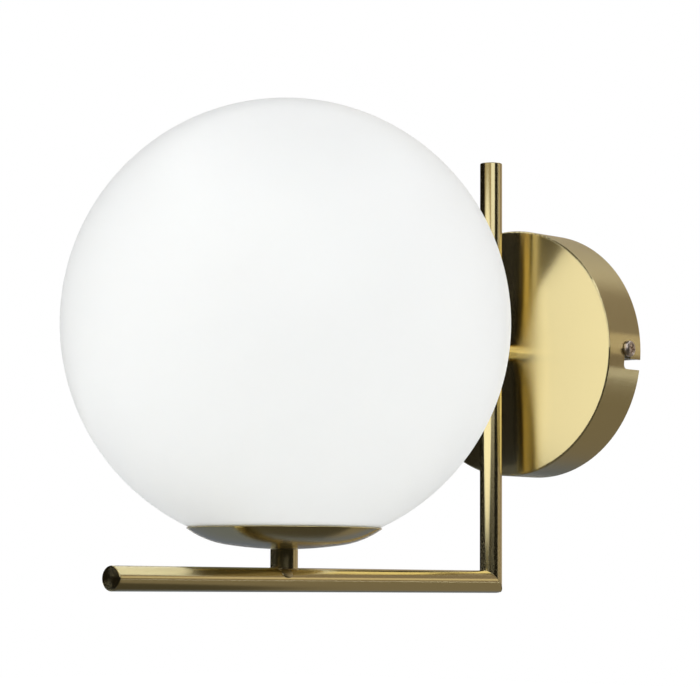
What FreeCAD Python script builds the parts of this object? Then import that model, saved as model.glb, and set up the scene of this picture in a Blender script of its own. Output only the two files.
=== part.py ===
import FreeCAD, Part
import math
import os

# A wall light with an opal glass globe. Sizes are in millimetres.
# The wall is the plane y = 0 and the light stands out from it towards -Y, with +Z up. The origin is
# the centre of the wall cup's open back. x is the distance to either side of the light's middle plane.

Vector = FreeCAD.Vector
X_AXIS = Vector(1, 0, 0)
Y_AXIS = Vector(0, 1, 0)
Z_AXIS = Vector(0, 0, 1)

# ---- Overall sizes ----
globe_radius = 100.0
globe_standoff = 187.5        # from the wall to the upright axis of globe, dish and lamp
arm_reach = 293.3             # from the wall to the arm's free end
arm_drop = 111.4              # from the cup's centre down to the arm's axis
upright_standoff = 40.0       # from the wall to the upright tube's axis
upright_top = 91.8            # from the cup's centre up to the upright tube's top

# ---- Tubes ----
tube_radius = 5.35
tube_wall = 1.0
corner_rounding = 1.8
plug_head = 1.2
plug_depth = 6.0
plug_bevel = 0.5
plug_clearance = 0.05

# ---- Wall cup ----
cup_radius = 60.0
cup_depth = 25.5
cup_wall = 1.0
cup_edge_radius = 0.9
cup_inner_edge_radius = 0.4
slot_play = 1.0               # how much wider than the side screw its slot is
slot_height = 10.5            # from the wall to the middle of the slot's side branch
slot_shift = 7.15             # from the screw down to the middle of the slot's mouth
slot_overrun = 1.0            # how far a cut runs past the face it opens

# ---- Wall bracket ----
bracket_thickness = 1.5
bracket_half_width = 10.0
bracket_half_body = 46.0      # half the length of the bracket's wide part
ear_half_width = 4.5
ear_length = 15.0
ear_gap = 1.4                 # from an ear to the inside of the cup
wall_slot_spacing = 70.0
wall_slot_length = 14.0
wall_slot_radius = 2.5
cable_hole_radius = 6.0
earth_screw_offset = 17.0
earth_screw_short = 0.2       # how far the earth screw stops short of the wall
earth_clamp_half = 4.2

# ---- Side screws and earth screw ----
screw_radius = 2.0
head_share = 1.95             # a pan head's radius to its screw's radius
head_rise = 1.2               # a pan head's height to its screw's radius
crown_reach = 0.62            # where a pan head's arc passes, as a share of its radius
crown_rise = 0.86             # and of its height
head_edge = 0.3               # height of a pan head's straight edge, as a share of its height
cross_reach = 0.58            # half length of a cross recess, as a share of the head's radius
side_screw_gap = 0.3          # under a side screw's head, to the cup
side_screw_grip = 7.0
cross_recess_width = 1.0
cross_recess_depth = 1.4
thread_clearance = 0.05       # round every screw or threaded end in its hole

# ---- Stem ----
stem_radius = 4.5
stem_shoulder = 0.55          # from the stem's outside down to its threaded end
stem_bore_radius = 2.8
stem_thread_end = 9.2         # from the inside of the cup to the stem's inner end
stem_hole_clearance = 0.15
washer_thickness = 1.0
washer_radius = 7.5
lock_washer_thickness = 1.2
lock_washer_radius = 6.4
stem_nut_flats = 13.0
nut_chamfer = 0.6             # height of a nut's rounded corners to their depth
stem_nut_height = 3.6

# ---- Terminal block in the cup ----
strap_width = 14.0
strap_thickness = 1.0
strap_step = 4.0              # how far the strap's platform stands off the cup's face
strap_step_height = 15.0      # where the strap steps, above the stem's axis
strap_top = 38.0
block_bottom = 18.0
block_height = 17.0
block_depth = 13.0
pole_pitch = 8.5
pole_play = 0.05              # round a pole's sleeve in the block
sleeve_radius = 2.05
sleeve_inset = 1.0            # from the block's end to a pole's sleeve
sleeve_bore_radius = 1.5
block_edge_radius = 0.8
block_screw_radius = 1.5
block_screw_head = 2.6
block_screw_head_height = 1.6
block_recess_width = 0.7
block_recess_depth = 0.8
block_hole_play = 0.1
clamp_screw_radius = 1.2
clamp_well_play = 0.4         # round a clamping screw in the block
clamp_level_share = 0.25      # from an end of the block to its clamping screws, as a share of its height
clamp_screw_sunk = 1.0        # from the block's face to a clamping screw's head
clamp_slot_width = 0.5
clamp_slot_depth = 0.8
earth_tag_thickness = 0.8
earth_tag_radius = 6.4
earth_tag_arm = 10.0          # from the stem's axis to the end of the tag's flat arm
earth_tag_half = 2.0
barrel_start = 9.0            # from the stem's axis to the crimped barrel
barrel_length = 5.0
barrel_wall = 0.8
barrel_sink = 0.2             # how deep the barrel's bore sits in the tag

# ---- Neck, dish and what holds the globe ----
neck_radius = 6.1
neck_height = 8.2             # from the arm's top to the underside of the dish
neck_seat = 0.5               # how deep the neck's foot sits over the round arm
neck_wall = 1.05
nipple_wall = 1.5
nipple_below = 7.6            # length of the nipple below the dish
nipple_above = 9.0            # length of the nipple above the dish's underside
dish_radius = 43.8
dish_depth = 9.4
dish_wall = 0.6
dish_floor_radius = 170.0     # how flat the dish's floor is
dish_turn = 26.0              # where the floor turns up into the side
globe_gap = 0.3               # between the globe and the dish's rim
globe_wall = 2.5
lamp_passage = 3.5            # round the lamp as the globe's hole passes it
globe_foot_width = 2.0        # width of the ground flat round the globe's hole
globe_band_height = 18.0      # of the globe's lower band, which is a node of its own
globe_crown_height = 46.0     # of its upper cap, likewise
seal_bevel = 0.3
seal_inside = 0.5             # how far the seal reaches in past the edge of the globe's hole
seal_outside = 0.1            # how far it stops short of the outer edge of the globe's foot
seal_bed = 0.05               # under the seal, to the dish
hole_play = 0.2               # round the nipple in dish and clip
clip_thickness = 0.5
clip_disc_radius = 11.0
clip_overlap = 1.0            # how far an arm of the clip runs into its disc
clip_half_width = 4.0
clip_gap = 0.6                # between the clip's bow and the edge of the globe's hole
clip_bed = 0.05               # under the clip's disc, to the dish
clip_foot_gap = 0.3           # under the low end of an arm, to the dish
clip_foot_inset = 3.4         # from the bow in to the low end of an arm
clip_heel_inset = 1.2         # from the bow in to where an arm turns up
clip_heel_rise = 0.9
clip_inner_rise = 1.5
clip_height = 6.5
clip_tip_inset = 1.6          # from the bow in to the tip of an arm
clip_tip_slant = 0.1
clip_count = 3
nipple_washer_width = 3.0
nipple_washer_play = 0.1
nipple_washer_thickness = 0.8
nipple_nut_margin = 4.0       # from the nipple's diameter to the size across the nut's flats
nipple_nut_height = 3.0

# ---- Lamp holder ----
holder_wall = 1.8
holder_step = 0.6             # from the skirt in to the base
holder_foot_radius = 14.0
holder_foot_bevel = 1.0
holder_foot_thickness = 2.4
holder_shoulder = 5.0         # height of the two parts of the base's rounded shoulder
holder_shoulder_step = 0.6
holder_base_height = 27.0
holder_height = 54.0
holder_foot_gap = 0.4         # between the nut and the holder's foot
insert_height = 8.0
insert_level = 10.5           # from the holder's foot to the underside of its insert
insert_play = 0.1             # round the insert in the holder's base
insert_collar = 2.1           # wall of the insert's collar round the sleeve's carrier
insert_roof = 3.0             # what is left over the wire holes
insert_wire_play = 0.3
insert_well_radius = 1.6
terminal_offset = 7.0         # from the holder's axis to its two wire holes
terminal_side = 4.0           # from a wire hole to its clamping screw
terminal_screw_radius = 1.2
terminal_screw_length = 4.0
terminal_head_radius = 1.5
terminal_head_height = 1.2
terminal_recess_width = 0.5
terminal_recess_depth = 0.6
terminal_sunk = 1.5
skirt_lip = 1.5
skirt_bevel = 0.8

# ---- Screw thread shared by lamp and holder ----
cap_pitch = 3.63
cap_middle_radius = 12.6
cap_wave = 0.55
cap_shell_wall = 0.3
cap_turns = 5
cap_play = 0.25               # between the cap and the holder's threaded sleeve
sleeve_wall = 0.4
carrier_wall = 1.2            # of the insulating tube round the threaded sleeve
carrier_play = 0.1            # round that tube, inside and outside
side_contact_thickness = 0.35
side_contact_start = 6.0      # from the holder's axis to the side contact
contact_half_width = 2.0
contact_thickness = 0.4
contact_foot = (-6.0, -2.0)   # where the centre contact lies flat on the insert
contact_top = (1.5, 3.4)      # where it lies flat under the lamp's tip
contact_offset = 0.15         # how far its slope is set over, so that it keeps its thickness
contact_rise = 2.2            # from the insert to the lamp's tip
contact_gap = 0.3             # between the lamp's tip and the centre contact

# ---- Lamp ----
lamp_length = 108.0
lamp_radius = 30.0
dome_wall = 1.2
body_wall = 1.5
tip_height = 1.5
tip_radius = 4.5
tip_rise = 0.4                # how high the tip's domed edge passes
tip_share = 0.7               # at this share of its radius
insulator_height = 3.5
insulator_inset = 1.8         # from the cap's radius in to the insulator's
insulator_lip = 0.6
insulator_step = 1.5
thread_lead_in = 0.6          # from the insulator up to the cap's thread
cap_skirt_wall = 0.2
flange_height = 3.0
body_gap = 0.6                # from the cap's thread to the lamp's body
collar_wall = 1.6             # of the lamp's body round the cap's flange
body_inset = 1.0              # from the cap's radius in to the body's inner foot
body_bulge = 0.32             # how far out the body's flank is, half way up
body_clear = 1.0              # from the holder's mouth up to where the flank starts
body_fit = 0.05               # round the cap's flange and under the dome
flank_wall_share = 1.1
flank_rise = 0.6
waist_share = 0.55            # from the dome's centre down to the waist, as a share of its radius
board_drop = 0.4              # from the waist down to the board
board_seat_width = 2.0        # from the body's flank wall in to the board's seat
board_ledge = 1.5             # width of the ledge the board rests on
board_play = 0.1
board_thickness = 1.6
chip_count = 12
chip_circle_share = 0.79      # radius of the ring of chips, as a share of the board's
chip_size = 2.8
chip_height = 0.7

# ---- Wires ----
wire_radius = 1.05
wire_gap = 0.4                # between the two wires in a tube
wire_play = 0.02              # round a wire in a crimp or under a screw
wire_bend = 7.0
wire_end_bend = 4.0
wire_holder_bend = 1.2
wire_in_holder = 4.0          # how far a wire goes into the holder's insert
wire_below_insert = 1.5
wire_in_block = 0.8           # how far a wire goes into the block, as a share of its height
wire_turn_drop = 5.0          # from the block down to where the wires turn up into it
lead_start = 9.5
lead_out = 18.0               # from the stem's axis out to the earth lead's loop
lead_drops = (6.0, 4.0)       # from the block down to the two ends of the loop's top
lead_bends = (3.0, 3.0, 1.5)

# ---- Places that follow from the sizes ----
arm_level = -arm_drop
screw_head_radius = head_share * screw_radius
screw_head_height = head_rise * screw_radius
slot_width = 2 * screw_radius + slot_play
stem_thread_radius = stem_radius - stem_shoulder
pole_hole_radius = sleeve_radius + pole_play
nipple_radius = neck_radius - neck_wall - thread_clearance
nipple_bore_radius = nipple_radius - nipple_wall
nipple_washer_radius = nipple_radius + nipple_washer_width
nipple_nut_flats = 2 * nipple_radius + nipple_nut_margin
globe_hole_radius = lamp_radius + lamp_passage
globe_foot_radius = globe_hole_radius + globe_foot_width
carrier_radius = (cap_middle_radius + cap_play + sleeve_wall + cap_wave
                  + carrier_play + carrier_wall)
insert_radius = carrier_radius + carrier_play + insert_collar
insulator_radius = cap_middle_radius - insulator_inset
base_radius = insert_radius + insert_play + holder_wall
holder_radius = base_radius + holder_step
wire_spacing = 2 * wire_radius + wire_gap
arm_top = arm_level + tube_radius
tube_bore = tube_radius - tube_wall
dish_underside = arm_top + neck_height
rim_level = dish_underside + dish_depth
cup_inside = cup_depth - cup_wall
ear_face = cup_radius - cup_wall - ear_gap


# ---- Small helpers ----
def flat(point):
    """A point (x, z) of an outline, in the XZ plane."""
    return Vector(point[0], 0, point[1])


def outline(start, *steps):
    """Flat face inside a closed outline of (x, z) points; a pair of points is an arc through the first."""
    edges = []
    here = start
    for step in steps + (start,):
        if isinstance(step[0], tuple):
            via, end = step
            edges.append(Part.Arc(flat(here), flat(via), flat(end)).toShape())
        else:
            end = step
            edges.append(Part.LineSegment(flat(here), flat(end)).toShape())
        here = end
    return Part.Face(Part.Wire(edges))


def turned(face):
    """Solid of revolution of an outline (radius, height) about the Z axis."""
    return face.revolve(Vector(0, 0, 0), Z_AXIS, 360)


def ring(inner, outer, low, high):
    """Plain ring or disc about the Z axis."""
    disc = Part.makeCylinder(outer, high - low, Vector(0, 0, low))
    if inner <= 0:
        return disc
    return disc.cut(Part.makeCylinder(inner, high - low, Vector(0, 0, low)))


def slab(x_range, y_range, z_range):
    """Box between two values along each axis."""
    sides = [pair[1] - pair[0] for pair in (x_range, y_range, z_range)]
    return Part.makeBox(*sides, Vector(x_range[0], y_range[0], z_range[0]))


def out_of_wall(shape):
    """Turn a shape made about the Z axis so that its height runs out from the wall, along -Y."""
    return shape.rotate(Vector(0, 0, 0), X_AXIS, 90)


def on_globe_axis(shape):
    """Move a shape made about the Z axis to the upright axis of the globe."""
    return shape.translate(Vector(0, -globe_standoff, 0))


def hexagon(flats, low, high):
    """Six-sided bar about the Z axis, across flats, with its corners rounded off as on a nut."""
    corner = flats / math.sqrt(3)
    points = [Vector(corner * math.cos(math.radians(60 * k)), corner * math.sin(math.radians(60 * k)), low)
              for k in range(7)]
    bar = Part.Face(Part.makePolygon(points)).extrude(Vector(0, 0, high - low))
    chamfer = nut_chamfer * (corner - flats / 2)
    rounded = turned(outline((0, low), (flats / 2, low), (corner, low + chamfer),
                             (corner, high - chamfer), (flats / 2, high), (0, high)))
    return bar.common(rounded)


def pan_screw(shank_radius, length, head_radius, head_height, recess_width, recess_depth):
    """Pan-head screw about the Z axis, head up, with the underside of its head at height 0."""
    crown = (head_radius * crown_reach, head_height * crown_rise)
    screw = turned(outline((0, -length), (shank_radius, -length), (shank_radius, 0), (head_radius, 0),
                           (head_radius, head_height * head_edge), (crown, (0, head_height))))
    half = recess_width / 2
    reach = head_radius * cross_reach
    depths = (head_height - recess_depth, 2 * head_height)
    cross = slab((-reach, reach), (-half, half), depths).fuse(slab((-half, half), (-reach, reach), depths))
    return screw.cut(cross.removeSplitter())


def bent_wire(points, bends, radius):
    """Round wire along straight runs joined by tangent arcs, one bend radius for each inner point."""
    edges = []
    here = points[0]
    for before, corner, after, bend in zip(points, points[1:], points[2:], bends):
        back = (before - corner).normalize()
        ahead = (after - corner).normalize()
        half_angle = back.getAngle(ahead) / 2
        run = bend / math.tan(half_angle)
        first = corner + back * run
        last = corner + ahead * run
        inward = (back + ahead).normalize()
        middle = corner + inward * (bend / math.sin(half_angle) - bend)
        edges.append(Part.LineSegment(here, first).toShape())
        edges.append(Part.Arc(first, middle, last).toShape())
        here = last
    edges.append(Part.LineSegment(here, points[-1]).toShape())
    path = Part.Wire(edges)
    section = Part.Wire(Part.makeCircle(radius, points[0], points[1] - points[0]))
    return path.makePipeShell([section], True, True)


# ---- Wall bracket and its screws ----
def wall_bracket():
    """Flat strap on the wall, with a bent tapped ear at each end for the side screws."""
    strap = slab((-ear_face, ear_face), (-bracket_thickness, 0), (-ear_half_width, ear_half_width))
    strap = strap.fuse(slab((-bracket_half_body, bracket_half_body), (-bracket_thickness, 0),
                            (-bracket_half_width, bracket_half_width)))
    for side in (-1, 1):
        faces = sorted((side * ear_face, side * (ear_face - bracket_thickness)))
        ear = slab(faces, (-ear_length, 0), (-ear_half_width, ear_half_width))
        tapped = Part.makeCylinder(screw_radius + thread_clearance, 4 * bracket_thickness,
                                   Vector(side * (ear_face - 2 * bracket_thickness), -slot_height, 0),
                                   X_AXIS * side)
        strap = strap.fuse(ear).cut(tapped)
        middle = side * wall_slot_spacing / 2
        straight = wall_slot_length / 2 - wall_slot_radius
        strap = strap.cut(slab((middle - straight, middle + straight), (-bracket_thickness, 0),
                               (-wall_slot_radius, wall_slot_radius)))
        for end in (-straight, straight):
            strap = strap.cut(Part.makeCylinder(wall_slot_radius, bracket_thickness,
                                                Vector(middle + end, 0, 0), -Y_AXIS))
    strap = strap.cut(Part.makeCylinder(cable_hole_radius, bracket_thickness, Vector(0, 0, 0), -Y_AXIS))
    strap = strap.cut(Part.makeCylinder(screw_radius + thread_clearance, bracket_thickness,
                                        Vector(earth_screw_offset, 0, 0), -Y_AXIS))
    return strap.removeSplitter()


def side_screw(side):
    """Pan-head screw through the cup's slot into one ear of the bracket."""
    screw = pan_screw(screw_radius, side_screw_grip, screw_head_radius, screw_head_height,
                      cross_recess_width, cross_recess_depth)
    screw.rotate(Vector(0, 0, 0), Y_AXIS, 90 * side)
    return screw.translate(Vector(side * (cup_radius + side_screw_gap), -slot_height, 0))


def earth_screw():
    """Screw in the bracket that clamps the supply's earth conductor."""
    head_seat = bracket_thickness + washer_thickness
    screw = pan_screw(screw_radius, head_seat - earth_screw_short, screw_head_radius, screw_head_height,
                      cross_recess_width, cross_recess_depth)
    screw.translate(Vector(0, 0, head_seat))
    return out_of_wall(screw).translate(Vector(earth_screw_offset, 0, 0))


def earth_clamp():
    """Square clamp plate under the earth screw's head."""
    half = earth_clamp_half
    plate = slab((-half, half), (-half, half), (bracket_thickness, bracket_thickness + washer_thickness))
    plate = plate.cut(ring(0, screw_radius + thread_clearance, 0, cup_depth))
    return out_of_wall(plate).translate(Vector(earth_screw_offset, 0, 0))


# ---- Wall cup ----
def slot_cutter(side):
    """L-shaped bayonet slot: a mouth at the cup's back edge and a side branch up to the screw."""
    radius = slot_width / 2
    low, high = -slot_shift, 0
    reach = (cup_radius * 0.8, cup_radius * 1.1)
    mouth = slab(reach, (-slot_height, slot_overrun), (low - radius, low + radius))
    branch = slab(reach, (-slot_height - radius, -slot_height + radius), (low, high))
    cutter = mouth.fuse(branch)
    for level in (low, high):
        cutter = cutter.fuse(Part.makeCylinder(radius, reach[1] - reach[0],
                                               Vector(reach[0], -slot_height, level), X_AXIS))
    if side < 0:
        cutter.rotate(Vector(0, 0, 0), Y_AXIS, 180)
    return cutter


def wall_cup():
    """Drawn round cup with a flat face, a small edge radius, the stem's hole and two bayonet slots."""
    edge = cup_edge_radius
    inner_edge = cup_inner_edge_radius
    corner = cup_radius - edge
    slant = math.sqrt(0.5)
    inside = cup_radius - cup_wall
    shell = outline(
        (stem_thread_radius + stem_hole_clearance, cup_inside),
        (inside - inner_edge, cup_inside),
        ((inside - inner_edge * (1 - slant), cup_inside - inner_edge * (1 - slant)),
         (inside, cup_inside - inner_edge)),
        (inside, 0),
        (cup_radius, 0),
        (cup_radius, cup_depth - edge),
        ((corner + edge * slant, cup_depth - edge + edge * slant), (corner, cup_depth)),
        (stem_thread_radius + stem_hole_clearance, cup_depth))
    cup = out_of_wall(turned(shell))
    for side in (-1, 1):
        cup = cup.cut(slot_cutter(side))
    return cup


# ---- Stem with its fixings ----
def stem():
    """Short tube from the upright to the cup, turned down to a threaded end inside the cup."""
    body = ring(0, stem_radius, cup_depth, upright_standoff)
    body = body.fuse(ring(0, stem_thread_radius, cup_inside - stem_thread_end, cup_depth))
    body = body.cut(ring(0, stem_bore_radius, 0, upright_standoff))
    body = out_of_wall(body)
    return body.cut(upright_bar(tube_radius))


def stack_levels():
    """Distances from the wall of the faces between strap, washer, earth tag, lock washer and nut."""
    levels = [cup_inside]
    for thickness in (strap_thickness, washer_thickness, earth_tag_thickness,
                      lock_washer_thickness, stem_nut_height):
        levels.append(levels[-1] - thickness)
    return levels


def stem_ring(outer, high, low):
    """Washer on the stem's threaded end."""
    return out_of_wall(ring(stem_thread_radius + stem_hole_clearance, outer, low, high))


def stem_nut():
    """Hexagon nut on the stem's threaded end."""
    levels = stack_levels()
    nut = hexagon(stem_nut_flats, levels[5], levels[4])
    return out_of_wall(nut.cut(ring(0, stem_thread_radius + thread_clearance, 0, cup_depth)))


def terminal_strap():
    """Stepped strap held under the stem's nut, which carries the terminal block."""
    half = strap_width / 2
    hole = stem_thread_radius + stem_hole_clearance
    back = cup_inside
    front = cup_inside - strap_step
    lean = math.tan(math.pi / 8) * strap_thickness
    side = outline((-half, back), (strap_step_height, back), (strap_step_height + strap_step, front),
                   (strap_top, front), (strap_top, front - strap_thickness),
                   (strap_step_height + strap_step - lean, front - strap_thickness),
                   (strap_step_height - lean, back - strap_thickness),
                   (-half, back - strap_thickness))
    strap = side.extrude(Vector(0, strap_width, 0)).translate(Vector(0, -half, 0))
    strap.rotate(Vector(0, 0, 0), Z_AXIS, 90)
    strap = strap.cut(ring(0, hole, 0, cup_depth))
    strap = out_of_wall(strap)
    middle = block_middle()
    return strap.cut(Part.makeCylinder(block_screw_radius + thread_clearance, cup_depth,
                                       Vector(middle[0], 0, middle[2]), -Y_AXIS))


# ---- Terminal block ----
def block_back():
    """Distance from the wall of the terminal block's seat on the strap."""
    return cup_inside - strap_step - strap_thickness


def pole_depth():
    """Distance from the wall of the axis of the block's poles."""
    return block_back() - block_depth / 2


def poles():
    """Sideways places of the three poles: neutral, live and earth."""
    return (-pole_pitch, 0.0, pole_pitch)


def block_middle():
    """Axis of the block's fixing screw, between the live and the earth pole."""
    return (pole_pitch / 2, 0, block_bottom + block_height / 2)


def clamp_levels():
    """Heights of the two clamping screws of each pole."""
    share = clamp_level_share
    return (block_bottom + block_height * share, block_bottom + block_height * (1 - share))


def terminal_block():
    """Moulded block with three through poles, two screw wells on each and a fixing hole."""
    half = 1.5 * pole_pitch
    block = slab((-half, half), (-block_back(), -(block_back() - block_depth)),
                 (block_bottom, block_bottom + block_height))
    block = block.makeFillet(block_edge_radius, block.Edges)
    for place in poles():
        block = block.cut(Part.makeCylinder(pole_hole_radius, block_height,
                                            Vector(place, -pole_depth(), block_bottom), Z_AXIS))
        for level in clamp_levels():
            block = block.cut(Part.makeCylinder(clamp_screw_radius + clamp_well_play, block_depth / 2,
                                                Vector(place, -pole_depth(), level), Y_AXIS))
    middle = block_middle()
    block = block.cut(Part.makeCylinder(block_screw_radius + block_hole_play, block_depth,
                                        Vector(middle[0], -block_back(), middle[2]), Y_AXIS))
    return block


def terminal_sleeves():
    """Brass sleeve in each pole, tapped for its two clamping screws."""
    sleeves = []
    for place in poles():
        sleeve = ring(sleeve_bore_radius, sleeve_radius, block_bottom + sleeve_inset,
                      block_bottom + block_height - sleeve_inset)
        sleeve.translate(Vector(place, -pole_depth(), 0))
        for level in clamp_levels():
            sleeve = sleeve.cut(Part.makeCylinder(clamp_screw_radius + thread_clearance, sleeve_radius,
                                                  Vector(place, -pole_depth(), level), Y_AXIS))
        sleeves.append(sleeve)
    return Part.makeCompound(sleeves)


def clamp_screws():
    """Slotted screws that press on the wires in the poles."""
    screws = []
    length = block_depth / 2 - wire_radius - clamp_screw_sunk
    half = clamp_slot_width / 2
    for place in poles():
        for level in clamp_levels():
            screw = Part.makeCylinder(clamp_screw_radius, length)
            screw = screw.cut(slab((-clamp_screw_radius, clamp_screw_radius), (-half, half),
                                   (length - clamp_slot_depth, length)))
            screw.rotate(Vector(0, 0, 0), X_AXIS, -90)
            screws.append(screw.translate(Vector(place, wire_radius + wire_play - pole_depth(), level)))
    return Part.makeCompound(screws)


def block_screw():
    """Screw that holds the terminal block to its strap."""
    grip = block_depth + strap_thickness
    screw = pan_screw(block_screw_radius, grip, block_screw_head, block_screw_head_height,
                      block_recess_width, block_recess_depth)
    screw.rotate(Vector(0, 0, 0), X_AXIS, -90)
    middle = block_middle()
    return screw.translate(Vector(middle[0], -(block_back() - block_depth), middle[2]))


def earth_tag():
    """Ring tag under the stem's nut, with a crimped barrel for the earth lead."""
    high, low = stack_levels()[2:4]
    hole = stem_thread_radius + stem_hole_clearance
    start = Vector(barrel_start, 0, low - wire_radius + barrel_sink)
    bore = Part.makeCylinder(wire_radius + wire_play, barrel_length, start, X_AXIS)
    barrel = Part.makeCylinder(wire_radius + barrel_wall, barrel_length, start, X_AXIS).cut(bore)
    barrel = barrel.cut(slab((0, 2 * earth_tag_arm), (-earth_tag_arm, earth_tag_arm), (high, cup_depth)))
    tag = ring(0, earth_tag_radius, low, high)
    tag = tag.fuse(slab((0, earth_tag_arm), (-earth_tag_half, earth_tag_half), (low, high))).cut(bore)
    return out_of_wall(tag.fuse(barrel).cut(ring(0, hole, 0, cup_depth)))


# ---- Upright and arm ----
def upright_bar(radius):
    """Solid bar along the whole upright."""
    return Part.makeCylinder(radius, upright_top - arm_level + tube_radius,
                             Vector(0, -upright_standoff, arm_level - tube_radius), Z_AXIS)


def arm_bar(radius):
    """Solid bar along the whole arm."""
    start = upright_standoff - tube_radius
    return Part.makeCylinder(radius, arm_reach - start, Vector(0, -start, arm_level), -Y_AXIS)


def mitre_half(upper):
    """Half space on one side of the mitre where the upright meets the arm."""
    size = 2 * (arm_reach + upright_top + arm_drop)
    corner = (-upright_standoff, arm_level)
    ends = ((corner[0] - size, corner[1] + size), (corner[0] + size, corner[1] - size))
    far = (corner[0] + size, corner[1] + size) if upper else (corner[0] - size, corner[1] - size)
    face = Part.Face(Part.makePolygon([Vector(-size / 2, y, z) for y, z in ends + (far, ends[0])]))
    return face.extrude(Vector(size, 0, 0))


def corner_rounder():
    """What the polished outer corner of the mitre loses."""
    size = corner_rounding
    y, z = -upright_standoff + tube_radius, arm_level - tube_radius
    block = slab((-2 * tube_radius, 2 * tube_radius), (y - size, y + size), (z - size, z + size))
    keep = Part.makeCylinder(size, 4 * tube_radius, Vector(-2 * tube_radius, y - size, z + size), X_AXIS)
    corner = slab((-2 * tube_radius, 2 * tube_radius), (y - size, y), (z, z + size))
    return block.cut(corner).fuse(corner.cut(keep))


def upright_tube():
    """Upright tube, mitred at its foot, with the wires' hole into the stem."""
    tube = upright_bar(tube_radius).cut(upright_bar(tube_bore))
    wide = 2 * tube_radius
    tube = tube.cut(slab((-wide, wide), (-upright_standoff - wide, -upright_standoff + wide),
                         (upright_top - plug_head, upright_top + wide)))
    tube = tube.common(mitre_half(True)).cut(corner_rounder())
    return tube.cut(Part.makeCylinder(stem_bore_radius, upright_standoff,
                                      Vector(0, -upright_standoff, 0), Y_AXIS))


def arm_tube():
    """Arm tube, mitred at its inner end, with the wires' hole under the neck."""
    tube = arm_bar(tube_radius).cut(arm_bar(tube_bore))
    wide = 2 * tube_radius
    tube = tube.cut(slab((-wide, wide), (-arm_reach - wide, -arm_reach + plug_head),
                         (arm_level - wide, arm_level + wide)))
    tube = tube.common(mitre_half(False)).cut(corner_rounder())
    return tube.cut(Part.makeCylinder(nipple_bore_radius, 2 * tube_radius,
                                      Vector(0, -globe_standoff, arm_level), Z_AXIS))


def tube_plug():
    """Closed end of a tube about the Z axis: a bevelled head at height 0 and a spigot below it."""
    spigot = tube_bore - plug_clearance
    return turned(outline((0, -plug_head - plug_depth), (spigot - plug_bevel, -plug_head - plug_depth),
                          (spigot, -plug_head - plug_depth + plug_bevel), (spigot, -plug_head),
                          (tube_radius, -plug_head), (tube_radius, -plug_bevel),
                          (tube_radius - plug_bevel, 0), (0, 0)))


def upright_cap():
    """Closed top of the upright."""
    return tube_plug().translate(Vector(0, -upright_standoff, upright_top))


def arm_cap():
    """Closed free end of the arm."""
    return out_of_wall(tube_plug()).translate(Vector(0, -arm_reach, arm_level))


# ---- Neck and dish ----
def neck():
    """Short tube that stands on the arm, shaped to it at the foot and tapped for the nipple."""
    tube = ring(nipple_radius + thread_clearance, neck_radius, arm_top - neck_seat, dish_underside)
    return on_globe_axis(tube).cut(arm_bar(tube_radius))


def neck_nipple():
    """Hollow threaded rod from the neck up through the dish into the lamp holder."""
    return on_globe_axis(ring(nipple_bore_radius, nipple_radius, dish_underside - nipple_below,
                              dish_underside + nipple_above))


def dish_arcs():
    """Centre heights, radii and angles of the two tangent arcs of the dish's underside."""
    floor_angle = math.asin(dish_turn / dish_floor_radius)
    floor_centre = dish_underside + dish_floor_radius
    turn_level = floor_centre - dish_floor_radius * math.cos(floor_angle)
    rise = rim_level - turn_level
    run = dish_radius - dish_turn
    chord_angle = math.atan2(rise, run)
    side_radius = math.hypot(rise, run) / (2 * math.sin(chord_angle - floor_angle))
    side_centre = (dish_turn - side_radius * math.sin(floor_angle),
                   turn_level + side_radius * math.cos(floor_angle))
    return floor_centre, floor_angle, side_centre, side_radius


def floor_point(angle, inset):
    """Point on the dish's floor, or inside it by an inset."""
    floor_centre = dish_arcs()[0]
    radius = dish_floor_radius - inset
    return (radius * math.sin(angle), floor_centre - radius * math.cos(angle))


def side_point(angle, inset):
    """Point on the dish's side, or inside it by an inset."""
    side_centre, side_radius = dish_arcs()[2:]
    radius = side_radius - inset
    return (side_centre[0] + radius * math.sin(angle), side_centre[1] - radius * math.cos(angle))


def rim_angle(inset):
    """Angle at which the dish's side reaches the level of its rim."""
    side_centre, side_radius = dish_arcs()[2:]
    return math.acos((side_centre[1] - rim_level) / (side_radius - inset))


def dish_inside_level(radius):
    """Height of the dish's inner surface at a distance from its axis."""
    floor_centre, floor_angle, side_centre, side_radius = dish_arcs()
    if radius <= floor_point(floor_angle, dish_wall)[0]:
        return floor_centre - math.sqrt((dish_floor_radius - dish_wall) ** 2 - radius ** 2)
    return side_centre[1] - math.sqrt((side_radius - dish_wall) ** 2 - (radius - side_centre[0]) ** 2)


def dish():
    """Spun dish under the globe: a nearly flat floor that turns up to the rim."""
    floor_angle = dish_arcs()[1]
    hole = nipple_radius + hole_play
    sides = []
    for inset in (0, dish_wall):
        start = math.asin(hole / (dish_floor_radius - inset))
        end = rim_angle(inset)
        sides.append([floor_point(start, inset), floor_point((start + floor_angle) / 2, inset),
                      floor_point(floor_angle, inset), side_point((floor_angle + end) / 2, inset),
                      side_point(end, inset)])
    under, inner = sides
    section = outline(under[0], (under[1], under[2]), (under[3], under[4]), inner[4],
                      (inner[3], inner[2]), (inner[1], inner[0]))
    return on_globe_axis(turned(section))


def globe_seal():
    """Soft ring in the dish on which the globe's ground foot rests."""
    inner, outer = globe_hole_radius - seal_inside, globe_foot_radius - seal_outside
    top = globe_foot_level()
    return on_globe_axis(turned(outline(
        (inner, dish_inside_level(inner) + seal_bed), (outer, dish_inside_level(outer) + seal_bed),
        (outer, top), (inner + seal_bevel, top), (inner, top - seal_bevel))))


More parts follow.
